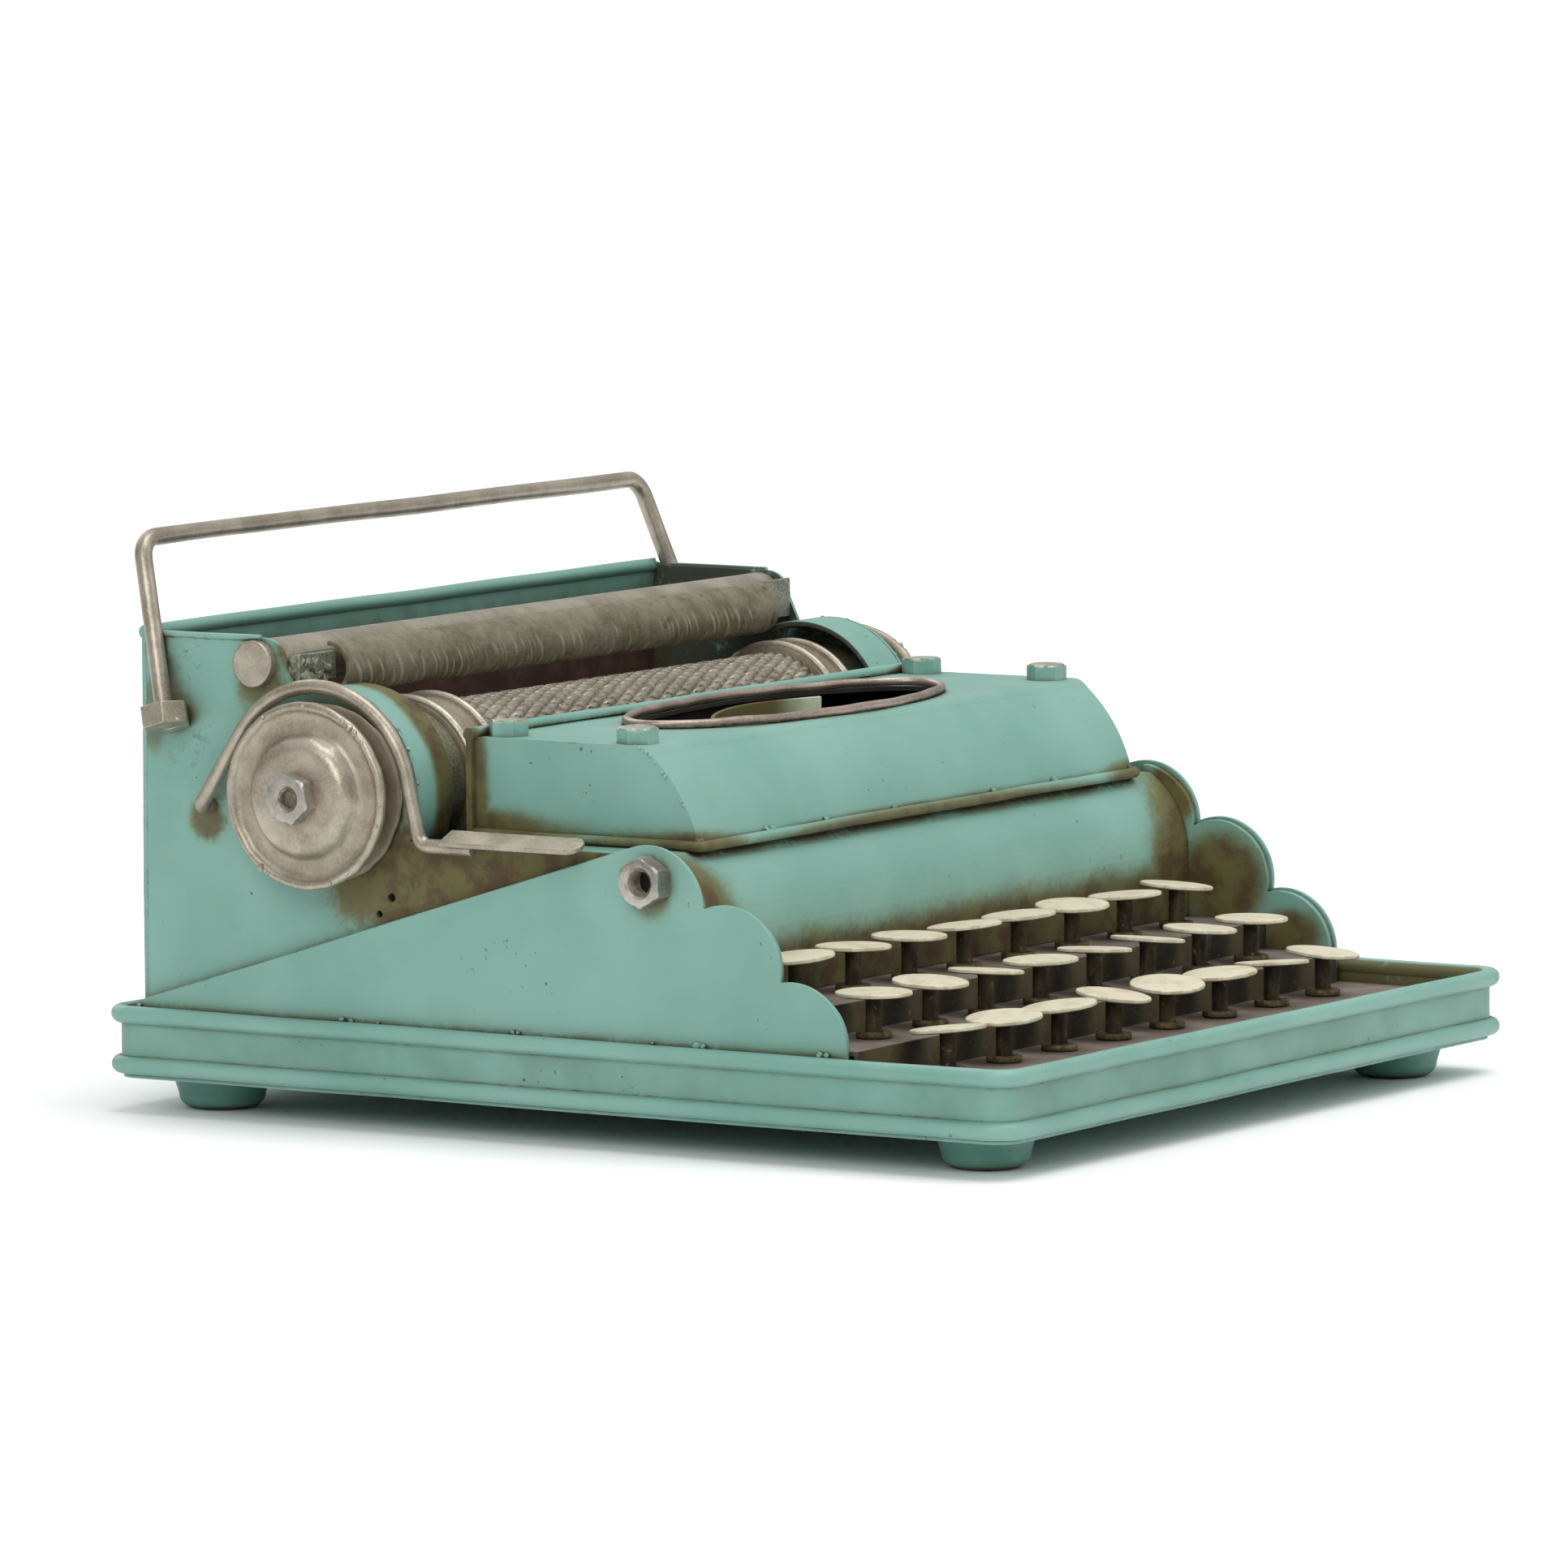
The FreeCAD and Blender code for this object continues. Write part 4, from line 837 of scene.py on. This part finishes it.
def build():
    cowl_low, cowl_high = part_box("front_cowl")
    cover_low, cover_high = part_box("ribbon_cover")
    side_low, side_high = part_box("left_side_plate")
    rim_low, rim_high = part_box("base_rim")
    lever_low, lever_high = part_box("return_lever")
    nut_low, nut_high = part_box("handle_nuts")
    cheek_low, cheek_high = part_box("left_cheek")
    bar_low, bar_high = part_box("scale_bar")

    plain = mint("mint_paint")
    # the rim's web between its beads gets painted shade
    rim_paint = mint("mint_rim", wash=1.0, reach=3.2, web_shade_band=(rim_low.z + 3.4 * MM, rim_high.z - 3.4 * MM),
                     inner=OLIVE_WASH)
    foot_y, foot_z = cowl_low.y, cowl_low.z
    cowl_stains = [((0, foot_y, foot_z - 0.002), (0.9, 0.05, 0.024), 1.0)]
    for sign in (-1, 1):
        cowl_stains.append(((sign * cowl_high.x, foot_y, foot_z + 0.010), (0.027, 0.05, 0.040), 1.0))
    cowl_paint = mint("mint_cowl", cowl_stains)
    cover_stains = []
    for sign in (-1, 1):
        side_x = sign * cover_high.x
        cover_stains.append(((side_x, cover_high.y - 0.004, cover_low.z), (0.01, 0.045, 0.011), 0.95))
        cover_stains.append(((side_x, cover_high.y - 0.002, cover_low.z + 0.01), (0.006, 0.007, 0.03), 0.8))
        cover_stains.append(((side_x, cover_low.y, cover_low.z), (0.03, 0.05, 0.007), 0.8))
    cover_stains.append(((0, cover_low.y, cover_low.z), (0.12, 0.02, 0.0045), 0.75))
    cover_paint = mint("mint_cover", cover_stains)
    side_stains = [
        ((side_low.x, lever_high.y - 0.001, lever_low.z + 0.004), (0.02, 0.008, 0.008), 0.7),
        ((side_low.x, 0.068, side_high.z - 0.003), (0.02, 0.010, 0.012), 0.85),
        ((side_low.x, 0.078, 0.098), (0.02, 0.012, 0.012), 0.7),
    ]
    for sign in (-1, 1):
        x = sign * side_low.x
        side_stains.append(((x, 0.014, 0.060), (0.03, 0.062, 0.026), 1.0))
        side_stains.append(((x, 0.044, 0.056), (0.03, 0.026, 0.026), 0.85))
        side_stains.append(((x, nut_high.y + 0.001, nut_low.z + 0.004), (0.02, 0.007, 0.014), 0.5))
    bruises = []
    for sign in (-1, 1):
        bruises.append(((sign * nut_high.x, nut_low.y + 0.004, nut_low.z - 0.001), (0.02, 0.014, 0.014), 0.7))
        bruises.append(((sign * nut_high.x, nut_low.y + 0.003, nut_high.z + 0.008), (0.02, 0.006, 0.012), 0.9))
    # inward faces of the side plates and hoods get near-black painted shade
    side_paint = mint("mint_side", side_stains, ragged=0.5, bruises=bruises, inner=WELL_SHADE)
    hood_low, hood_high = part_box("right_end_hood")
    hood_stains = [
        ((-hood_low.x, hood_low.y, hood_high.z - 0.02), (0.011, 0.08, 0.08), 1.0),
        ((-hood_low.x, hood_high.y, hood_high.z), (0.03, 0.012, 0.012), 0.8),
    ]
    hood_paint = mint("mint_hood", hood_stains, inner=WELL_SHADE)
    # painted shadow: a dark wash patch on each cheek just below its nut
    cheek_nut_shadows = []
    for sign in (-1, 1):
        y, z = ((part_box("cheek_nuts")[0][i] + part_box("cheek_nuts")[1][i]) / 2 for i in (1, 2))
        cheek_nut_shadows.append(((sign * cheek_low.x, y, z - 0.002), (0.01, 0.0095, 0.0105), 0.55))
    cheek_paint = mint("mint_cheek", cheek_nut_shadows)
    liner_stains = [
        ((0, -0.0455, 0.0400), (0.5, 0.021, 0.019), 1.0),
        ((0, -0.0640, 0.0290), (0.5, 0.014, 0.010), 0.9),
        ((0, -0.0330, 0.0600), (0.5, 0.012, 0.012), 1.0),
    ]
    liner_paint = mint("mint_liner", liner_stains)
    foot_paint = mint("mint_foot", deep=TEAL_FOOT, light=(0.110, 0.280, 0.230, 1), wash=0.3)
    silver = bronze("silver_bronze")
    trim_bronze = bronze("trim_bronze", light=(0.40, 0.33, 0.27, 1), deep=(0.25, 0.19, 0.15, 1), dirt=1.2, metal=0.6)
    bracket = bronze("bracket_bronze", light=(0.16, 0.20, 0.13, 1), deep=(0.07, 0.09, 0.05, 1), dirt=1.5, metal=0.3)
    knob_stain = []
    low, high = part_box("knob_nuts")
    knob_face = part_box("right_knob")[1].x
    for sign in (-1, 1):
        y, z = (low.y + high.y) / 2, (low.z + high.z) / 2
        knob_stain.append(((sign * knob_face, y, z), (0.02, 0.0085, 0.0085), 0.6))
        knob_stain.append(((sign * (knob_face - 9 * MM), y, z), (0.0066, 0.06, 0.06), 1.0))
    knob_silver = bronze("silver_knob", blobs=knob_stain, dirt=1.0, reach=5.0)
    # the roller's knurl grooves get painted shade
    roller_silver = bronze("silver_roller", dirt=0.5, groove_shade=1.4)
    steel = bronze("worn_steel", light=(0.50, 0.48, 0.44, 1), deep=(0.26, 0.24, 0.21, 1), dirt=1.0, metal=0.85)
    drum_olive = bronze("drum_olive", light=(0.150, 0.150, 0.080, 1), deep=(0.085, 0.090, 0.045, 1), metal=0.3)

    worked("base_rim", rim_paint, "mint_paint", bevel=0.0, grid=5.0)
    worked("base_floor", rim_paint, "mint_paint", bevel=0.15, grid=8.0)
    worked("feet", foot_paint, "mint_paint", bevel=0.3, grid=3.0, wave=0.1)
    for node in ("left_cheek", "right_cheek"):
        worked(node, cheek_paint, "mint_paint")
    worked("cheek_liners", liner_paint, "mint_paint", bevel=0.3, grid=4.0, wave=0.35, wave_size=9.0)
    for node in ("left_side_plate", "right_side_plate"):
        worked(node, side_paint, "mint_paint")
    worked("rear_panel", rear_paint("mint_rear", side_high.z), "mint_paint", bevel=0.2)
    for node in ("left_end_hood", "right_end_hood"):
        worked(node, hood_paint, "mint_paint", bevel=0.3, grid=4.0)
    worked("front_cowl", cowl_paint, "mint_paint", bevel=0.2)
    void_shade = painted_shade_inside("cover_shade")
    shell = worked("ribbon_cover", cover_paint, "mint_paint", bevel=0.55, segments=3)
    # painted shade: the hollow inside the cover, seen through its opening, is coloured near black on the cover and the
    # cowl
    cavity = (cover_low + Vector((2.2, 0.4, -9)) * MM, Vector((cover_high.x - 2.2 * MM, 0.0287, 0.0863)))
    paint_inside(shell, void_shade, *cavity)
    paint_inside(NODES_MADE["front_cowl"], void_shade, *cavity)
    worked("cover_bead", cover_paint, "mint_paint", bevel=0.0, grid=4.0, wave=0.22, wave_size=22.0)
    bolt_heads(bolt_paint())
    worked("opening_trim", trim_bronze, "silver_bronze", bevel=0.0, grid=3.0, wave=0.25, wave_size=12.0)
    worked("type_sheet", pale_sheet("pale_sheet"), "mint_paint", grid=3.0)
    worked("scale_bar", scale_paint("scale_paint", (bar_low.z + bar_high.z) / 2), "silver_bronze", bevel=0.2, grid=4.0)
    worked("scale_brackets", bracket, "silver_bronze", bevel=0.3, grid=2.0)
    worked("rear_rod", silver, "silver_bronze", bevel=0.5, grid=5.0, wave=0.1)
    worked("handle", silver, "silver_bronze", bevel=0.0, grid=5.0, wave=0.45, wave_size=45.0)
    worked("handle_nuts", silver, "silver_bronze", bevel=0.25, grid=1.5)
    # the nut bores end in the near-black painted shade
    side_nuts("cheek_nuts", "frame", [steel, drum_olive, void_shade], 5.0, 2.95, 5.5, 0.0)
    side_nuts("knob_nuts", "platen", [steel, drum_olive, void_shade], 4.0, 2.45, 2.1, math.radians(12))
    worked("platen_shaft", steel, "silver_bronze", bevel=0.3, grid=6.0, wave=0.0)
    worked("platen_collars", silver, "silver_bronze", bevel=0.3, grid=3.0, wave=0.0)
    worked("platen_end_drums", drum_olive, "silver_bronze", bevel=0.4, grid=3.0, wave=0.0)
    worked("return_lever", silver, "silver_bronze", bevel=0.0, grid=3.0, wave=0.12, wave_size=30.0)
    worked("lever_paddle", silver, "silver_bronze", bevel=0.25, grid=3.0, wave=0.12, wave_size=30.0)
    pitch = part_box("key_r1_2")[0].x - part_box("key_r1_1")[0].x
    worked("key_deck", deck_paint("deck_paint", pitch), "taupe_paint", bevel=0.3, grid=6.0)
    worked("key_collars", collar_paint("collar_paint"), "olive_paint", bevel=0.45, grid=1.5, wave=0.0, segments=3)

    welds(plain, cover_paint, silver, bracket)
    knurled_roller(roller_silver)
    knob("left_knob", -1, knob_silver)
    knob("right_knob", 1, knob_silver)
    enamel = cream("cream_enamel")
    metal = stem_paint("stem_paint")
    for index, node in enumerate(sorted(n for n in NODES if n.startswith("key_r"))):
        key_piece(node, enamel, metal, index + 1)


def bolt_paint():
    """Mint heads with rubbed metal tops."""
    p = Paint("bolt_paint")
    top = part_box("cover_bolts")[1].z
    colour = p.mix(p.span(p.noise(4, 3), 0.36, 0.64), MINT_DEEP, MINT_LIGHT)
    colour = p.mix(p.span(p.corner(2.5), 0.25, 0.8), colour, OLIVE_WASH)
    worn = p.times(p.span(p.axis(2), top - 1.2 * MM, top - 0.4 * MM), p.span(p.noise(2.6, 4, 0.65), 0.40, 0.52))
    worn = p.most(worn, p.times(p.edge(0.5), p.span(p.noise(2.0, 3, shift=5.0), 0.48, 0.58)))
    colour = p.mix(worn, colour, BRONZE)
    normal = p.bump(p.math("SUBTRACT", 1.0, worn), 0.1, p.bump(p.noise(0.6, 3), 0.05))
    return p.done(colour, p.mix(worn, (0.5, 0.5, 0.5, 1), (0.34, 0.34, 0.34, 1)), normal, p.times(worn, 0.8))


set_camera()
set_studio()
build()
